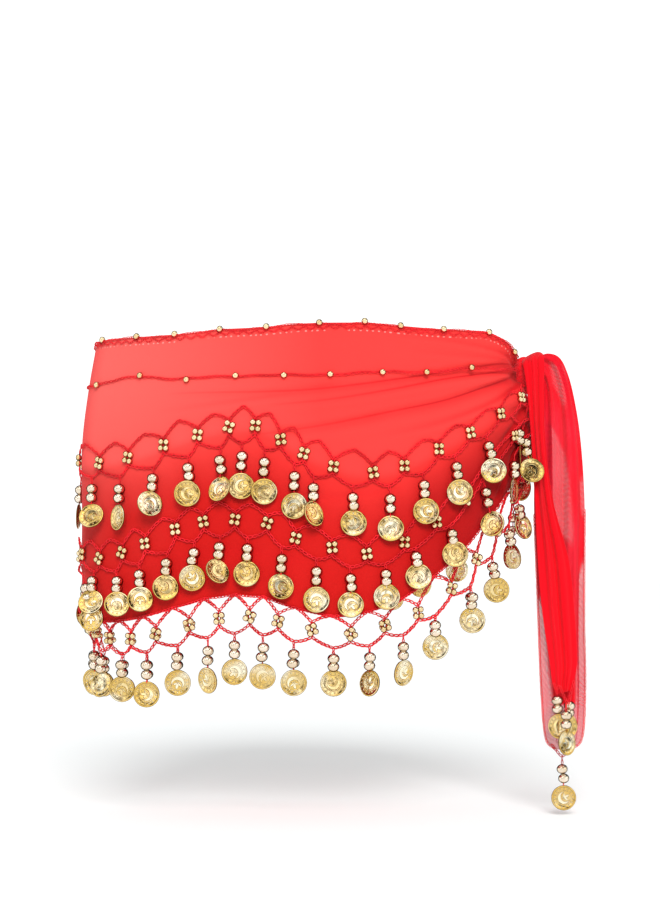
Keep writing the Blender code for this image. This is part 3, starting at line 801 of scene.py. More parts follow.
def knotPiece():
    # a squat closed body along x, its round sections wrinkled by pleats that turn as they run
    tilt = np.linspace(0, math.pi, knotShape["rings"] + 2)[1:-1, None]
    turn = roundAngles(knotShape["sides"])[None, :]
    pleat = np.cos(knotShape["pleats"] * turn + knotShape["twist"] * np.cos(tilt) * 2)
    fine = knotShape["fine"] * np.cos(knotShape["finePleats"] * turn - knotShape["fineTwist"] * np.cos(tilt) + 1.0)
    dent = 0.5 - 0.5 * (pleat + fine) / (1 + knotShape["fine"])
    girth = np.sin(tilt) ** 0.8 * (1 - knotShape["depth"] * dent)
    cx, cy, cz = knotShape["centre"]
    hx, hy, hz = knotShape["half"]
    round3 = cx - hx * np.cos(tilt), cy - hy * girth * np.cos(turn), cz + hz * girth * np.sin(turn)
    points = np.stack(np.broadcast_arrays(*round3), axis=-1).reshape(-1, 3)
    flat = np.stack(np.broadcast_arrays(turn * 0.012, 0.02 + tilt * 0.01), axis=-1).reshape(-1, 2)
    quads = tubeQuads(knotShape["rings"], knotShape["sides"])
    mesh = buildMesh("knot_pleats", points, quads, [finishes["frontTie"]], flat)
    return addPiece("knot_pleats", mesh, ["knot"])


knot = knotPiece()

# rows down each tie end: x of both edges, depth, heights of both edges, and how deep its waves are
frontTie = {
    "rows": np.array([
        (177.0, 190.5, 4.0, 9.0, 15.4, 0.8), (176.8, 191.5, -5.0, 10.0, 17.2, 1.0),
        (176.4, 193.0, -14.5, 6.5, 13.0, 1.3), (177.6, 193.2, -18.5, -3.0, 3.0, 1.6),
        (180.0, 192.6, -20.5, -24.0, -21.0, 2.0), (182.8, 193.8, -21.5, -60.0, -60.0, 2.4),
        (185.4, 200.0, -22.0, -105.0, -105.0, 2.6), (187.5, 212.0, -22.5, -150.0, -150.0, 2.6),
        (191.0, 216.5, -22.5, -190.0, -190.0, 2.4), (196.8, 218.5, -22.5, -230.0, -228.0, 2.0),
        (199.0, 216.5, -22.5, -247.0, -244.0, 1.6), (201.5, 214.0, -23.0, -256.0, -253.0, 1.2),
    ]),
    "crest": 0.0022,
    "sheer": (),
    # pleats across: share of the cut's width, share of the worn width, and how far to the back
    "pleats": (
        (0, 0.00, 0.0), (0.20, 0.36, -0.6), (0.33, 0.16, 0.9), (0.55, 0.66, 0.2), (0.68, 0.44, 1.3), (1.0, 1.0, 0.4),
    ),
    "columns": 90,
    "lines": 230,
    "thick": 0.0004,
}
rearTie = {
    "rows": np.array([
        (184.0, 191.0, -1.0, -8.0, 13.0, 1.0), (186.5, 198.0, -4.0, -12.0, 15.0, 1.5),
        (188.5, 205.5, -7.0, -18.0, 12.0, 2.0), (189.0, 211.0, -9.0, -26.0, 2.5, 2.4),
        (188.5, 216.8, -9.5, -36.0, -17.0, 2.8), (187.0, 222.6, -9.5, -60.0, -52.0, 3.0),
        (186.0, 226.0, -9.5, -105.0, -100.0, 3.2), (187.5, 226.0, -9.5, -150.0, -150.0, 3.0),
        (189.5, 225.8, -9.5, -200.0, -200.0, 2.6), (191.5, 226.6, -9.5, -250.0, -250.0, 2.0),
        (194.8, 224.5, -9.5, -290.0, -290.0, 1.4), (202.0, 216.5, -9.5, -300.5, -300.5, 0.6),
    ]),
    "crest": 0.0006,
    "pleats": (
        (0, 0.00, 0.6), (0.24, 0.36, -0.2), (0.34, 0.24, 1.6), (0.80, 0.90, 0.8), (0.86, 0.82, 2.0), (1.0, 1.0, 0.9),
    ),
    # sheer patches: rows of height, left edge and right edge, and how sheer the patch is
    "sheer": (
        (0.40, ((8, 198, 206), (3, 198, 211), (-10, 200, 213), (-22, 206, 213), (-30, 209, 212))),
        (0.43, (
            (-38, 194, 197), (-51, 195, 205), (-64, 195, 211), (-87, 197, 215), (-110, 200, 217), (-126, 206, 218),
            (-138, 213, 218),
        )),
        (0.60, ((-84, 222, 230), (-92, 221, 230), (-108, 222, 230), (-118, 224, 230))),
        (0.95, (
            (-150, 224, 230), (-165, 220, 230), (-200, 220, 230), (-235, 218.5, 230), (-262, 218, 230),
            (-275, 214, 230),
        )),
        (0.95, ((-180, 180, 192), (-200, 180, 196), (-240, 180, 199), (-262, 180, 202), (-275, 180, 210))),
        (1.00, ((-262, 180, 181), (-268, 180, 232), (-310, 180, 232))),
    ),
    "columns": 100,
    "lines": 260,
    "thick": 0.0003,
}


ribbon = {
    "openFrom": 0.55,  # from this share of its length the pleats open out, and how evenly they end up
    "evened": 0.65,
    "crestAt": 1.2,
    "crestRun": 1.3,
    "waves": 2.5,
    "fineWaves": 6,
    "waveDepth": 0.85,
    "mapColumn": 45,
    "mapWidth": 0.045,
}


def tiePoint(tie, along, across):
    # across the ribbon: a straight run between both edges, pleated to and fro, with waves that die at the edges
    last = len(tie["rows"]) - 1
    rows = [smooth(along, np.arange(last + 1), column * mm) for column in tie["rows"].T]
    inX, outX, depth, inZ, outZ, fold = rows
    cut, worn, back = np.array(tie["pleats"]).T
    opened = held((along / last - ribbon["openFrom"]) / (1 - ribbon["openFrom"]))
    pleated = smooth(across, cut, worn)
    share = held((1 - opened) * pleated + opened * ((1 - ribbon["evened"]) * pleated + ribbon["evened"] * across))
    # the crest over the knot is rounded off at both edges
    crest = tie["crest"] * np.abs(2 * share - 1) ** 3 * bell((along - ribbon["crestAt"]) / ribbon["crestRun"])
    wave = np.sin(2 * math.pi * ribbon["waves"] * share + 0.35 * along)
    wave = wave + 0.35 * np.sin(2 * math.pi * ribbon["fineWaves"] * share + 1.1 * along + 1)
    y = depth - ribbon["waveDepth"] * fold * wave * np.sin(math.pi * across) ** 0.5 + smooth(across, cut, back) * mm
    return np.stack([inX + (outX - inX) * share, y, inZ + (outZ - inZ) * share - crest], axis=-1)


def sheerField(tie, points):
    # how sheer the cloth is at each point: the most that any of the tie's patches gives it
    x, z = points[..., 0] / mm, points[..., 2] / mm
    sheer = np.zeros(x.shape)
    for most, rows in tie["sheer"]:
        levels, left, right = np.array(rows)[::-1].T
        inside = np.minimum(x - np.interp(z, levels, left), np.interp(z, levels, right) - x) / 3.0
        ends = np.minimum(z - levels[0], levels[-1] - z) / 8.0
        sheer = np.maximum(sheer, most * np.clip(inside + 0.2, 0, 1) * np.clip(ends + 0.4, 0, 1))
    return sheer


def tiePiece(name, tie, finish, nodes):
    along = np.linspace(0, len(tie["rows"]) - 1, tie["lines"])[:, None]
    across = np.linspace(0, 1, tie["columns"])[None, :]
    points = tiePoint(tie, along, across)
    length = runOf(points[:, ribbon["mapColumn"]])[:, None]
    flat = np.stack(np.broadcast_arrays(across * ribbon["mapWidth"], length), axis=-1).reshape(-1, 2)
    mesh = buildMesh(name, points.reshape(-1, 3), gridQuads(tie["lines"], tie["columns"]), [finish], flat)
    setAttribute(mesh, "sheer", sheerField(tie, points))
    piece = addPiece(name, mesh, nodes)
    addWall(piece, tie["thick"], 0)
    return piece


frontTiePiece = tiePiece("tie_end_front_chiffon", frontTie, finishes["frontTie"], ["tie_end_front"])
rearTiePiece = tiePiece("tie_end_rear_chiffon", rearTie, finishes["rearTie"], ["tie_end_rear"])
print("knot and tie ends made")

crochet = {
    "pitch": 0.0037, "length": 0.0043, "width": 0.0019, "thread": 0.00047, "tip": 0.35, "uneven": 0.15,
    "probe": 0.0006,
}
beads = {"small": 0.00240, "largeWide": 0.0045, "largeHigh": 0.0039, "spread": 0.0022, "spreadUp": 0.0024}
coin = {"radius": 0.0100, "thick": 0.0006, "eye": 0.86}
coinProfile = (
    (0.10, -0.62), (0.50, -0.72), (0.84, -0.55), (0.89, -1.0), (0.965, -1.0), (1.0, -0.5), (1.0, 0.5), (0.95, 1.0),
    (0.50, 0.75), (0.10, 0.70),
)
towardsViewer = np.array([0.0, -1.0, 0.0])


def beadShape(hole, rows, sides):
    # a ball cut off flat at both ends, where the hole is
    return turnedShape([(math.sin(t), -math.cos(t)) for t in np.linspace(hole, math.pi - hole, rows)], sides)


smallBead, largeBead, coinShape = beadShape(0.45, 5, 8), beadShape(0.30, 7, 12), turnedShape(coinProfile, 24)


def linkShape():
    # an oval ring of round thread, eight points round the oval and four round the thread
    a, b = roundAngles(8)[:, None], roundAngles(4)[None, :]
    reach = crochet["thread"] * np.cos(b)
    x = (crochet["length"] / 2 + reach) * np.cos(a)
    y = (crochet["width"] / 2 + reach) * np.sin(a)
    z = np.broadcast_to(crochet["thread"] * np.sin(b), x.shape)
    return np.stack([x, y, z], axis=-1).reshape(-1, 3), gridQuads(8, 4, True, True)[:, [0, 3, 2, 1]]


link = linkShape()


def readAlong(run, rows, at):
    return np.stack([np.interp(at, run, rows[:, k]) for k in range(3)], axis=-1)


def addChain(heap, points, outs, size=1.0):
    # links spaced evenly along a path, tipped to one side and the other in turn
    run = runOf(points)
    pitch = crochet["pitch"] * size
    count = max(1, int(round(run[-1] / pitch)))
    at = (np.arange(count) + 0.5) / count * run[-1]
    centre = readAlong(run, points, at)
    ahead = unit(readAlong(run, points, at + crochet["probe"]) - readAlong(run, points, at - crochet["probe"]))
    out = readAlong(run, outs, at)
    out = unit(out - ahead * (out * ahead).sum(axis=1, keepdims=True))
    side = np.cross(out, ahead)
    tip = np.where(np.arange(count) % 2, 1, -1) * crochet["tip"] + dice.normal(0, crochet["uneven"], count)
    across = np.cos(tip)[:, None] * side + np.sin(tip)[:, None] * out
    axes = np.stack([ahead, across, np.cross(ahead, across)], axis=1)
    scales = np.ones((count, 3)) * size
    scales[:, 0] *= (run[-1] / count) / pitch
    heap.add(*spreadCopies(link, centre, axes, scales), 0)


def addThread(heap, points, radius):
    # a six-sided thread carried along a path
    ahead = unit(np.gradient(points, axis=0))
    side = unit(np.cross(ahead, [0.3, 0.9, 0.1]))
    up = np.cross(ahead, side)
    turn = roundAngles(6)[:, None]
    shell = points[:, None] + radius * (np.cos(turn) * side[:, None] + np.sin(turn) * up[:, None])
    heap.add(shell.reshape(-1, 3), tubeQuads(len(points), 6)[:, ::-1], 0)


def addBeads(heap, shape, places, axes, size, finish):
    count = len(places)
    heap.add(*spreadCopies(shape, np.array(places), np.array([axes] * count), np.array([size] * count)), finish)


def onHips(place, level, off):
    point, along, down, out = hipFrame(place, level)
    return point + out * np.asarray(off)[..., None], along, down, out


def hipPath(placeLine, levelLine, off, bow=0.0, count=9):
    # a path laid on the hips through a few (place, level) points, bowed down a little in the middle
    t = np.linspace(0, 1, count)
    knots = np.linspace(0, 1, len(placeLine))
    place = np.interp(t, knots, placeLine)
    level = np.interp(t, knots, levelLine) - bow * 4 * t * (1 - t)
    points, _, _, outs = onHips(place, level, np.full(count, off))
    return points, outs


# where each net's bead clusters sit, and its coins: place, height, how far off the hips and turn in degrees,
# one for each cell from the knot on
nets = {
    "upper_net": {
        "clusters": (
            (26, -22.5), (49, -36.5), (80, -52.6), (108, -65.9), (136, -79.2), (160, -84.5), (190, -80.2),
            (212, -70.4), (229, -59.9), (248, -49.4), (268, -50.2), (292, -55.9), (319, -63.1), (350, -71.9),
            (380, -75.1), (424, -71.1),
        ),
        "coins": (
            None, None, (64.2, -81.8, 9.6, -43), (93.6, -99.0, 7.9, -31), (120.6, -113.7, 6.6, -22),
            (147.6, -126.8, 5.4, -15), (175.3, -122.9, 4.2, -8), (204.8, -116.1, 9.2, 40), (219.0, -110.1, 4.5, -10),
            (241.1, -99.3, 3.9, 6), (258.1, -95.1, 4.6, 10), (273.7, -97.2, 6.7, -23), (298.2, -100.5, 6.3, 21),
            (326.0, -107.8, 9.6, 43), (355.9, -117.8, 6.1, -19), (380.5, -116.2, 8.7, 36),
        ),
        # strings beside the knot that hang free of the hips: the cell, and points in millimetres
        "knotStrings": {
            0: {"start": (175.4, -22.0, -48.5), "coin": (182.0, -32.0, -80.1), "turn": 12},
            1: {"start": (172.2, -27.0, -43.0), "coin": (173.0, -30.0, -68.6), "turn": 84},
        },
        "rise": 14.0, "drop": 12.5, "off": 1.2, "free": False,
    },
    "middle_net": {
        "clusters": (
            (34, -53), (84, -104), (110, -121.6), (136, -136.9), (165, -145.8), (191, -141), (218, -134),
            (239, -122.7), (263, -119.9), (287, -121.4), (309, -127.1), (334, -137.8), (355, -144.5), (379, -149),
            (405, -145.7),
        ),
        "coins": (
            None, (67.4, -122.8, 11.6, -62), (97.6, -146.1, 7.8, -30), (126.7, -163, 6.4, -21),
            (150.8, -178.1, 5.3, -14), (177.5, -184, 4.2, -8), (202.7, -180.1, 3.2, -2), (228.6, -170.4, 5.8, 18),
            (253.8, -160.9, 4.4, 9), (274.1, -159, 9.2, 40), (294, -164.1, 6.1, 19), (314.2, -171.4, 7, 25),
            (334.1, -180.1, 8, 32), (353.7, -184, 8.7, 36), (380, -182.7, 8.7, 36),
        ),
        "knotStrings": {0: {"start": (167.4, -42.0, -68.9), "coin": (167.0, -44.0, -95.8), "turn": 68}},
        "farCoin": {"start": (-168.0, -42.0, -162.0), "coin": (-160.5, -51.0, -195.5), "turn": -14},
        "rise": 13.5, "drop": 12.0, "off": 1.2, "free": False,
    },
    "hem_net": {
        "clusters": (
            (30, -101.6), (52, -127), (74, -149.7), (97, -172), (125, -190.3), (151, -199.7), (177, -206),
            (206, -202.6), (231, -196.2), (252, -192.9), (275, -194.3), (298, -199.5), (325, -206.5), (347, -210.7),
            (369, -210.4), (388, -206.3), (411, -203),
        ),
        "coins": (
            (17, -124, 5.4, -28), (31.8, -147.5, 1.9, 66), (53.5, -173.4, 1.6, -50), (78.4, -196.5, 1.4, -37),
            (110.7, -216.2, 1.1, -26), (136.6, -235.6, 1.2, 27), (162.9, -243.0, 1.7, -53), (189.9, -242.9, 0.6, -5),
            (219.4, -242.5, 0.5, 2), (242.5, -237.7, 0.7, 7), (263.4, -234.5, 1.1, 23), (283.7, -241.1, 1.2, -29),
            (307.1, -243.3, 1.1, 23), (332.7, -252.6, 1.3, 31), (355.1, -249.3, 1.4, 36), (380.5, -246.8, 1.0, 21),
            (397, -246, 0.2, 48),
        ),
        "rise": 13.0, "drop": 12.0, "off": 0.9, "free": True,
    },
}
netLook = {
    "reach": 5.6,  # half the height of an upright far from the knot, and how small it gets at the knot
    "narrow": 0.50,
    "full": 120,  # from this place on the cells have their full size
    "gapAtKnot": 12,
    "least": 18,  # on the back, the least and the most that the first cluster is away from the last one in front
    "most": 36,
    "beadLift": 0.0007,
    "uprightSide": 0.0011,
    "uprightThread": 0.0005,
    "hangLimit": 0.25,
    "bow": 0.0012,
    "stringLinks": 0.8,
    "stringThread": 0.00045,
    "beadDrops": (0.31, 0.535),
}


def addString(heap, start, centre, normal, lean):
    # a thread down to a coin, through two large beads; the coin turns its face to a normal and leans a little
    way = centre - start
    down = unit(way)
    side = unit(np.cross(down, normal))
    firstAt, secondAt = [start + way * share + side * dice.normal(0, 0.0004) for share in netLook["beadDrops"]]
    size = [beads["largeWide"], beads["largeHigh"], beads["largeWide"]]
    addBeads(heap, largeBead, [firstAt, secondAt], np.stack([side, down, np.cross(side, down)]), size, 2)
    t = np.linspace(0, 1, 5)[:, None]
    addChain(heap, start + (firstAt - start) * t, np.repeat(normal[None], 5, axis=0), netLook["stringLinks"])
    eye = centre - down * coin["radius"] * coin["eye"]
    thread = np.concatenate([firstAt + (secondAt - firstAt) * t[:-1], secondAt + (eye - secondAt) * t])
    addThread(heap, thread, netLook["stringThread"])
    up = unit(-down + normal * lean)
    normal = unit(normal - up * (normal * up).sum())
    axes = np.stack([np.cross(-normal, up), -normal, up])
    spin = dice.uniform(0, 2 * math.pi)
    turned = np.array([[math.cos(spin), -math.sin(spin)], [math.sin(spin), math.cos(spin)]])
    flat = coinShape[0][:, [0, 2]] @ turned
    size = np.array([coin["radius"], coin["thick"], coin["radius"]])
    moved, faces = spreadCopies(coinShape, centre[None], axes[None], size[None])
    heap.add(moved, faces, 3, flat * 0.5 + 0.5)


def heading(vector):
    return np.degrees(np.arctan2(vector[..., 1], vector[..., 0]))


def addCluster(heap, place, level, off, size):
    # four small beads, two by two, a little askew
    point, along, down, _ = onHips(place, level, off)
    turn = dice.normal(0.05, 0.22)
    right = math.cos(turn) * along + math.sin(turn) * down
    below = math.cos(turn) * down - math.sin(turn) * along
    corners = [(-1, -1), (1, -1), (-1, 1), (1, 1)]
    aside, under = right * beads["spread"] * size, below * beads["spreadUp"] * size
    spots = [point + aside * a + under * b for a, b in corners]
    axes = np.stack([right, below, np.cross(right, below)])
    addBeads(heap, smallBead, spots, axes, [beads["small"]] * 3, 1)


def addUpright(heap, place, level, reach, off):
    # two threads that part round the cluster's beads
    for side in (-netLook["uprightSide"], netLook["uprightSide"]):
        places = place + side * 0.6, place + side, place + side * 0.6
        points, _ = hipPath(places, (level + reach, level, level - reach), off * 0.8, count=5)
        addThread(heap, points, netLook["uprightThread"])


def addCell(heap, net, left, right, worn):
    # a chain over the cell up to a peak, one under it down to a valley, and a string of beads and a coin from
    # the valley; each side is given as (place, height, half its height, size)
    off = net["off"] * mm
    middle, level, _, size = [(a + b) / 2 for a, b in zip(left, right)]
    peakPlace = middle + dice.normal(0, 0.0012)
    if net["free"]:
        peak = float(line("hem", peakPlace)) + 0.0012
    else:
        peak = level + net["rise"] * mm * size + dice.normal(0, 0.0008)
    valley = level - net["drop"] * mm * size
    hang = middle if worn is None else worn.get("place", middle)
    room = netLook["hangLimit"] * (right[0] - left[0])
    hang = min(max(hang, left[0] + room), right[0] - room)
    for place, height, reach, _ in (left, right):
        top = height + reach
        places = place, (place + peakPlace) / 2, peakPlace
        addChain(heap, *hipPath(places, (top, (top + peak) / 2 + 0.0008, peak), off))
    for place, height, reach, _ in (left, right):
        addChain(heap, *hipPath((place, hang), (height - reach, valley), off, netLook["bow"]))
    if worn is None:
        return
    start, _, _, out = onHips(hang, valley, off)
    if "start" in worn:
        addChain(heap, np.array([start, worn["start"]]), np.array([out, out]), netLook["stringLinks"])
        start = worn["start"]
    addString(heap, start, worn["centre"], worn["normal"], worn["lean"])


def netHalf(net, clusters, coins, ends):
    # uprights with a cluster each, a bare post at both ends, and a cell between each two of them
    heap = Heap()
    off = net["off"] * mm
    posts = sorted([(*cluster, True) for cluster in clusters] + [(*end, False) for end in ends])
    tall = []
    for place, level, beaded in posts:
        knotOff = min(place, fullRing - place) / (netLook["full"] * mm)
        ratio = float(twin(place)[1]) if net["free"] else 1.0
        size = (netLook["narrow"] + (1 - netLook["narrow"]) * min(knotOff, 1)) * ratio
        reach = netLook["reach"] * mm * size
        tall.append((place, level, reach, size))
        if beaded:
            addCluster(heap, place, level, off + netLook["beadLift"], min(1.0, size + 0.2))
            addUpright(heap, place, level, reach, off)
    for left, right, worn in zip(tall, tall[1:], coins):
        addCell(heap, net, left, right, worn)
    if net["free"]:
        # a thin chain along the hem from peak to peak
        edge = np.array([(a[0] + b[0]) / 2 for a, b in zip(tall, tall[1:])])
        for pair in zip(edge, edge[1:]):
            levels = [float(line("hem", place)) + 0.0008 for place in pair]
            addChain(heap, *hipPath(pair, levels, off, 0.0006), 0.75)
    return heap


def hungCoin(place, level, off, turn, lean):
    # a coin against the hips, its face turned about the upright axis from straight outwards
    centre, _, _, out = onHips(place, level, off)
    c, s = math.cos(math.radians(turn)), math.sin(math.radians(turn))
    normal = np.array([out[0] * c - out[1] * s, out[0] * s + out[1] * c, 0.0])
    return {"place": place, "centre": centre, "normal": unit(normal), "lean": lean}


def freeCoin(string):
    # a coin at a place of its own, its face turned about the upright axis from straight at the viewer
    turn = math.radians(string["turn"])
    normal = np.array([math.sin(turn), -math.cos(turn), 0.0])
    start, centre = np.array(string["start"]) * mm, np.array(string["coin"]) * mm
    return {"start": start, "centre": centre, "normal": normal, "lean": 0.03}


def frontNet(net):
    clusters = [(place * mm, level * mm) for place, level in net["clusters"]]
    start = netLook["gapAtKnot"] * mm
    slope = (clusters[1][1] - clusters[0][1]) / (clusters[1][0] - clusters[0][0])
    ends = [(start, clusters[0][1] + slope * (start - clusters[0][0]) * 0.5)]
    coins = []
    for worn in net["coins"]:
        if worn:
            place, level, off, turn = worn
            worn = hungCoin(place * mm, level * mm, off * mm, turn, dice.normal(0, 0.09))
        coins.append(worn)
    for cell, string in net.get("knotStrings", {}).items():
        coins[cell] = freeCoin(string)
    return clusters, coins, ends


def backCoin(net, middle, level):
    # under the hem a coin hangs straight behind one on the front; on the cloth it is turned by chance, and at the
    # far hip it lies flat
    if not net["free"]:
        turn = dice.normal(0, 26) * min(1.0, abs(middle - fullRing / 2) / 0.060)
        off = 0.0026 + 0.010 * abs(math.sin(math.radians(turn)))
        place, coinLevel = middle + dice.normal(0, 0.002), level - 0.0425 + dice.normal(0, 0.001)
        return hungCoin(place, coinLevel, off, turn, dice.normal(0, 0.06))
    front = float(twin(middle)[0])
    nearest = min([worn for worn in net["coins"] if worn], key=lambda worn: abs(worn[0] * mm - front))
    place = float(behind(nearest[0] * mm))
    if abs(place - middle) > 0.012:
        place, coinLevel = middle, level - 0.042
    else:
        coinLevel = lower(nearest[1] * mm, float(twin(place)[1]))
    outFront, outBack = hipFrame(nearest[0] * mm, coinLevel)[3], hipFrame(place, coinLevel)[3]
    turn = (heading(outFront) + nearest[3] - heading(outBack) + 90) % 180 - 90
    return hungCoin(place, coinLevel, 0.0012, turn, dice.normal(0, 0.07))


def backNet(net):
    # each cluster hangs straight behind one on the front
    last, lastLevel = [value * mm for value in net["clusters"][-1]]
    knotEnd = fullRing - netLook["gapAtKnot"] * mm
    back = []
    for place, level in net["clusters"][:-1]:
        hidden = float(behind(place * mm))
        if last + netLook["least"] * mm < hidden < knotEnd - 0.003:
            back.append((hidden, lower(level * mm, float(twin(hidden)[1])) if net["free"] else level * mm))
    back.sort()
    if back[0][0] - last > netLook["most"] * mm:
        back.insert(0, ((back[0][0] + last) / 2, (back[0][1] + lastLevel) / 2))
    ends = [(last + 0.0035, lastLevel), (knotEnd, back[-1][1] + 0.010)]
    posts = [ends[0], *back, ends[1]]
    coins = [backCoin(net, (a[0] + b[0]) / 2, (a[1] + b[1]) / 2) for a, b in zip(posts, posts[1:])]
    if "farCoin" in net:
        coins[0] = freeCoin(net["farCoin"])
    return back, coins, ends


def dressPiece(name, heap):
    mesh = heap.mesh(name + "_dress", [finishes[k] for k in ("thread", "smallBead", "largeBead", "coin")])
    return addPiece(name + "_dress", mesh, [name])


frontLace, backLace = [], []
for name, net in nets.items():
    frontLace.append(dressPiece(name + "_front", netHalf(net, *frontNet(net))))
    backLace.append(dressPiece(name + "_back", netHalf(net, *backNet(net))))
print("nets made")

# each edging: beads by place and height, and rows of links by drop below its line, how much it wobbles, the
# height of its picots, and the size of its links
edgings = {
    "top_edging": {
        "line": "top",
        "beads": (
            (26, 13.3), (60, 26), (102, 25.7), (137, 27.1), (165, 29.7), (200, 28.2), (241, 25.2), (278, 23.9),
            (316, 21.3), (352, 21.2), (396, 21.8),
        ),
        "rows": ((0.0007, 1, 0, 0.62), (0.0034, 0, 0.0010, 0.55)),
    },
    "bead_chain": {
        "line": "chain",
        "beads": (
            (78, -2.5), (117, -7.7), (152, -8.6), (192, -10.7), (227, -11.5), (264, -11.5), (303, -13.8), (344, -9.2),
            (393, -13.7),
        ),
        "rows": ((0, 1, 0, 0.85),),
    },
}
edgingLook = {"off": 0.0009, "beadOff": 0.0016, "beadSize": 1.05, "picots": 0.0095}


def edgingHalf(name, edging, onFront):
    heap = Heap()
    start, end = cloth["start"] + 0.001, hips["halfRing"] - 0.001
    if not onFront:
        start, end = hips["halfRing"] + 0.001, fullRing - cloth["start"] - 0.001
    place = np.linspace(start, end, 420)
    levels = line(edging["line"], place)
    wobble = 0.0004 * np.sin(place / 0.011) + 0.0003 * np.sin(place / 0.0043)
    for drop, wobbles, picot, size in edging["rows"]:
        picots = picot * np.sin(2 * math.pi * place / edgingLook["picots"])
        row = levels - drop + wobble * wobbles + picots
        points, _, _, outs = onHips(place, row, np.full(len(place), edgingLook["off"]))
        addChain(heap, points, outs, size)
    for spot, level in edging["beads"]:
        spot = spot * mm if onFront else float(behind(spot * mm))
        if start < spot < end:
            point, along, down, out = onHips(spot, level * mm, edgingLook["beadOff"])
            size = [beads["small"] * edgingLook["beadSize"]] * 3
            addBeads(heap, smallBead, [point], np.stack([along, down, out]), size, 1)
    mesh = heap.mesh(name + "_crochet", [finishes["thread"], finishes["smallBead"]])
    return addPiece(name + "_crochet", mesh, [name])


for name, edging in edgings.items():
    frontLace.append(edgingHalf(name + "_front", edging, True))
    backLace.append(edgingHalf(name + "_back", edging, False))

# chains along the ends of the ties, and strings: where each starts, where its coin hangs, and its turn
frontTrim = {
    "edge": (
        (199.5, -27.5, -247), (202.0, -27.5, -252), (204.0, -28.5, -249), (206.5, -29.5, -255), (210.2, -32, -262),
        (212.5, -28, -256), (214, -25, -252), (216, -23.5, -245),
    ),
    "strings": (
        {"start": (201.6, -27.5, -251.5), "coin": (203.6, -29.5, -280.4), "turn": -38},
        {"start": (213.4, -26.0, -257.5), "coin": (210.4, -25.2, -281.0), "turn": 30},
        {"start": (208.6, -32.0, -262.5), "coin": (209.1, -34.6, -293.0), "turn": 42},
    ),
    "sides": (),
}
rearTrim = {
    "edge": (
        (199.8, -9.6, -296.5), (204.2, -9.8, -302), (208.2, -10, -305.7), (212.4, -9.8, -302), (216.8, -9.6, -296.5),
    ),
    "strings": ({"start": (208.2, -10.0, -305.7), "coin": (209.4, -10.0, -338.8), "turn": 4},),
    "sides": (0.0, 1.0),
}
trimLook = {"endLinks": 0.9, "sideLinks": 0.72, "sideFrom": 6.2, "sideTo": 11.0, "lift": 0.0006}


def trimPiece(name, trim, tie):
    # a chain round the end of a tie, its strings, and a chain up each side that has one
    heap = Heap()
    edge = np.array(trim["edge"]) * mm
    run = np.linspace(0, len(edge) - 1, 60)
    points = np.stack([smooth(run, np.arange(len(edge)), column) for column in edge.T], axis=-1)
    addChain(heap, points, np.repeat(towardsViewer[None], len(points), axis=0), trimLook["endLinks"])
    for string in trim["strings"]:
        worn = freeCoin(string)
        addString(heap, worn["start"], worn["centre"], worn["normal"], dice.normal(0, 0.06))
    for side in trim["sides"]:
        along = np.linspace(trimLook["sideFrom"], trimLook["sideTo"], 200)
        points = tiePoint(tie, along, np.full(200, side)) + towardsViewer * trimLook["lift"]
        addChain(heap, points, np.repeat(towardsViewer[None], 200, axis=0), trimLook["sideLinks"])
    return dressPiece(name, heap)


frontTrimPiece = trimPiece("tie_trim_front", frontTrim, frontTie)
rearTrimPiece = trimPiece("tie_trim_rear", rearTrim, rearTie)
print("edgings and trims made")

studio = {
    "floor": -0.353,
    "floorReach": (14.0, -3, 26),
    # a little cyan, which cancels the pink light that the cloth throws into the floor's shadow
    "floorColour": (0.925, 0.95, 0.95, 1),
    "floorGlow": 0.12,
    "white": 1.2,
    "sky": 0.37,
    "domeLow": (0.75, 0.73, 0.70, 1),
    "domeHigh": (1.55, 1.55, 1.55, 1),
    "gap": (0.03, 0.026, 0.014, 1),
    "screen": (1.55, 1.53, 1.48, 1),
    "frontGap": (0.17, 0.14, 0.09, 1),
    "frontScreen": (1.56, 1.55, 1.50, 1),
    "darkRoom": (0.10, 0.09, 0.07, 1),
    "sun": 2.75,
    "sunSpread": 24,
    "sunTilt": 62,
    "sunTurn": 3,
    "key": {"place": (-0.35, -1.5, 1.55), "size": (1.3, 1.0), "power": 3.0},
    "fill": {"place": (1.3, -1.3, 0.35), "size": (1.0, 1.0), "power": 1.2},
    "aim": (0, 0, -0.1),
}


def floorPiece():
    side, near, far = studio["floorReach"]
    level = studio["floor"]
    corners = [(-side, near, level), (side, near, level), (side, far, level), (-side, far, level)]
    material, _, _ = newMaterial("pale_floor", {
        "Base Color": studio["floorColour"], "Roughness": 0.9, "Emission Color": (1, 1, 1, 1),
        "Emission Strength": studio["floorGlow"], "Specular IOR Level": 0.0,
    })
    mesh = buildMesh("floor", corners, [[0, 1, 2, 3]], [material], smoothFaces=False)
    floor = bpy.data.objects.new("floor", mesh)
    scene.collection.objects.link(floor)


def background(tree, colour, strength):
    return addNode(tree, "Background", {"Color": colour, "Strength": strength}).outputs[0]


def mixShaders(tree, *parts):
    node = addNode(tree, "MixShader")
    for part, socket in zip(parts, node.inputs):
        tree.links.new(part, socket)
    return node.outputs[0]


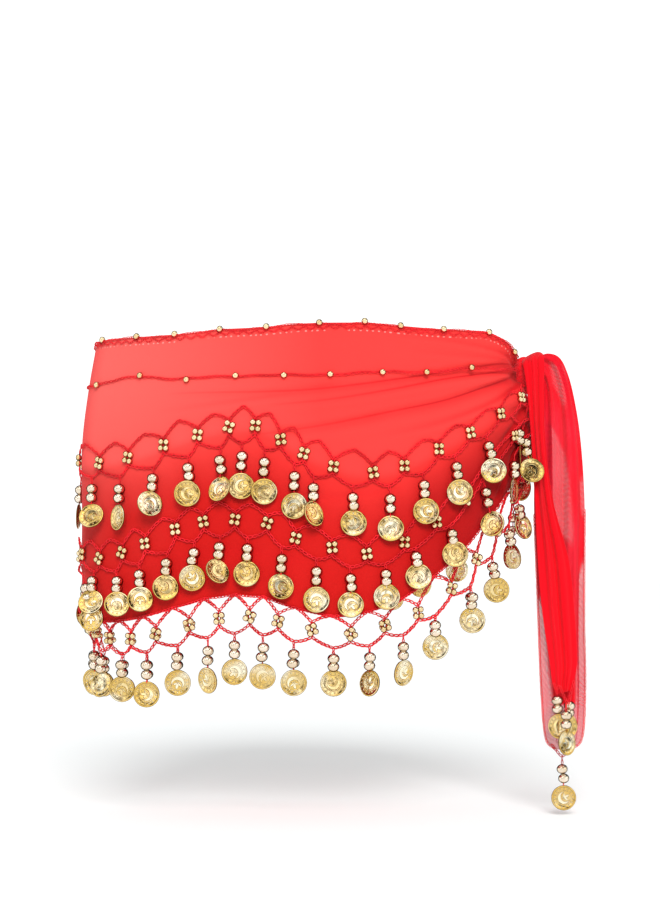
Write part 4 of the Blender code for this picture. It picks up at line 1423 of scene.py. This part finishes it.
def surroundings():
    # white for the camera, a soft dome for the light, and for reflections a studio of white screens and dark
    # gaps, with one patchy screen round the camera and a dark room behind the scarf
    world = bpy.data.worlds.new("studio")
    world.use_nodes = True
    tree = world.node_tree
    tree.nodes.clear()
    ray = addNode(tree, "LightPath").outputs
    direction = Signal(tree, addNode(tree, "TexCoord").outputs["Generated"])
    _, y, z = parted(direction)
    dome = mixColours(window(z, -0.75, -0.25), studio["domeLow"], studio["domeHigh"])
    seen = mixColours(window(noise(direction, 2.4, 1.5), 0.45, 0.55), studio["gap"], studio["screen"])
    front = mixColours(window(noise(direction, 4.6, 1), 0.43, 0.50), studio["frontGap"], studio["frontScreen"])
    seen = mixColours(window(y * -1, 0.84, 0.95), seen, front)
    seen = mixColours(window(y, 0.25, 0.70), seen, studio["darkRoom"])
    reflected, plain = background(tree, seen, 1.0), background(tree, (1, 1, 1, 1), studio["white"])
    light = mixShaders(tree, ray["Is Glossy Ray"], background(tree, dome, studio["sky"]), reflected)
    surface = addNode(tree, "OutputWorld").inputs["Surface"]
    tree.links.new(mixShaders(tree, ray["Is Camera Ray"], light, plain), surface)
    scene.world = world


def softLight(name, look):
    data = bpy.data.lights.new(name, "AREA")
    data.shape = "RECTANGLE"
    data.size, data.size_y = look["size"]
    data.energy = look["power"]
    lamp = bpy.data.objects.new(name, data)
    x, y, z = np.array(studio["aim"]) - np.array(look["place"])
    lamp.location = look["place"]
    lamp.rotation_euler = (math.atan2(math.hypot(x, y), -z), 0, math.atan2(-x, y))
    scene.collection.objects.link(lamp)


def sunLight():
    # a broad soft sun from the front and above, a little from the right
    data = bpy.data.lights.new("soft_sun", "SUN")
    data.energy = studio["sun"]
    data.angle = math.radians(studio["sunSpread"])
    lamp = bpy.data.objects.new("soft_sun", data)
    lamp.rotation_euler = (math.radians(studio["sunTilt"]), 0, math.radians(studio["sunTurn"]))
    lamp.visible_glossy = False  # the metal reflects the screens alone
    scene.collection.objects.link(lamp)


floorPiece()
surroundings()
sunLight()
softLight("key_light", studio["key"])
softLight("fill_light", studio["fill"])
scene.view_settings.view_transform = "Standard"
scene.view_settings.look = "None"
print("studio lit")
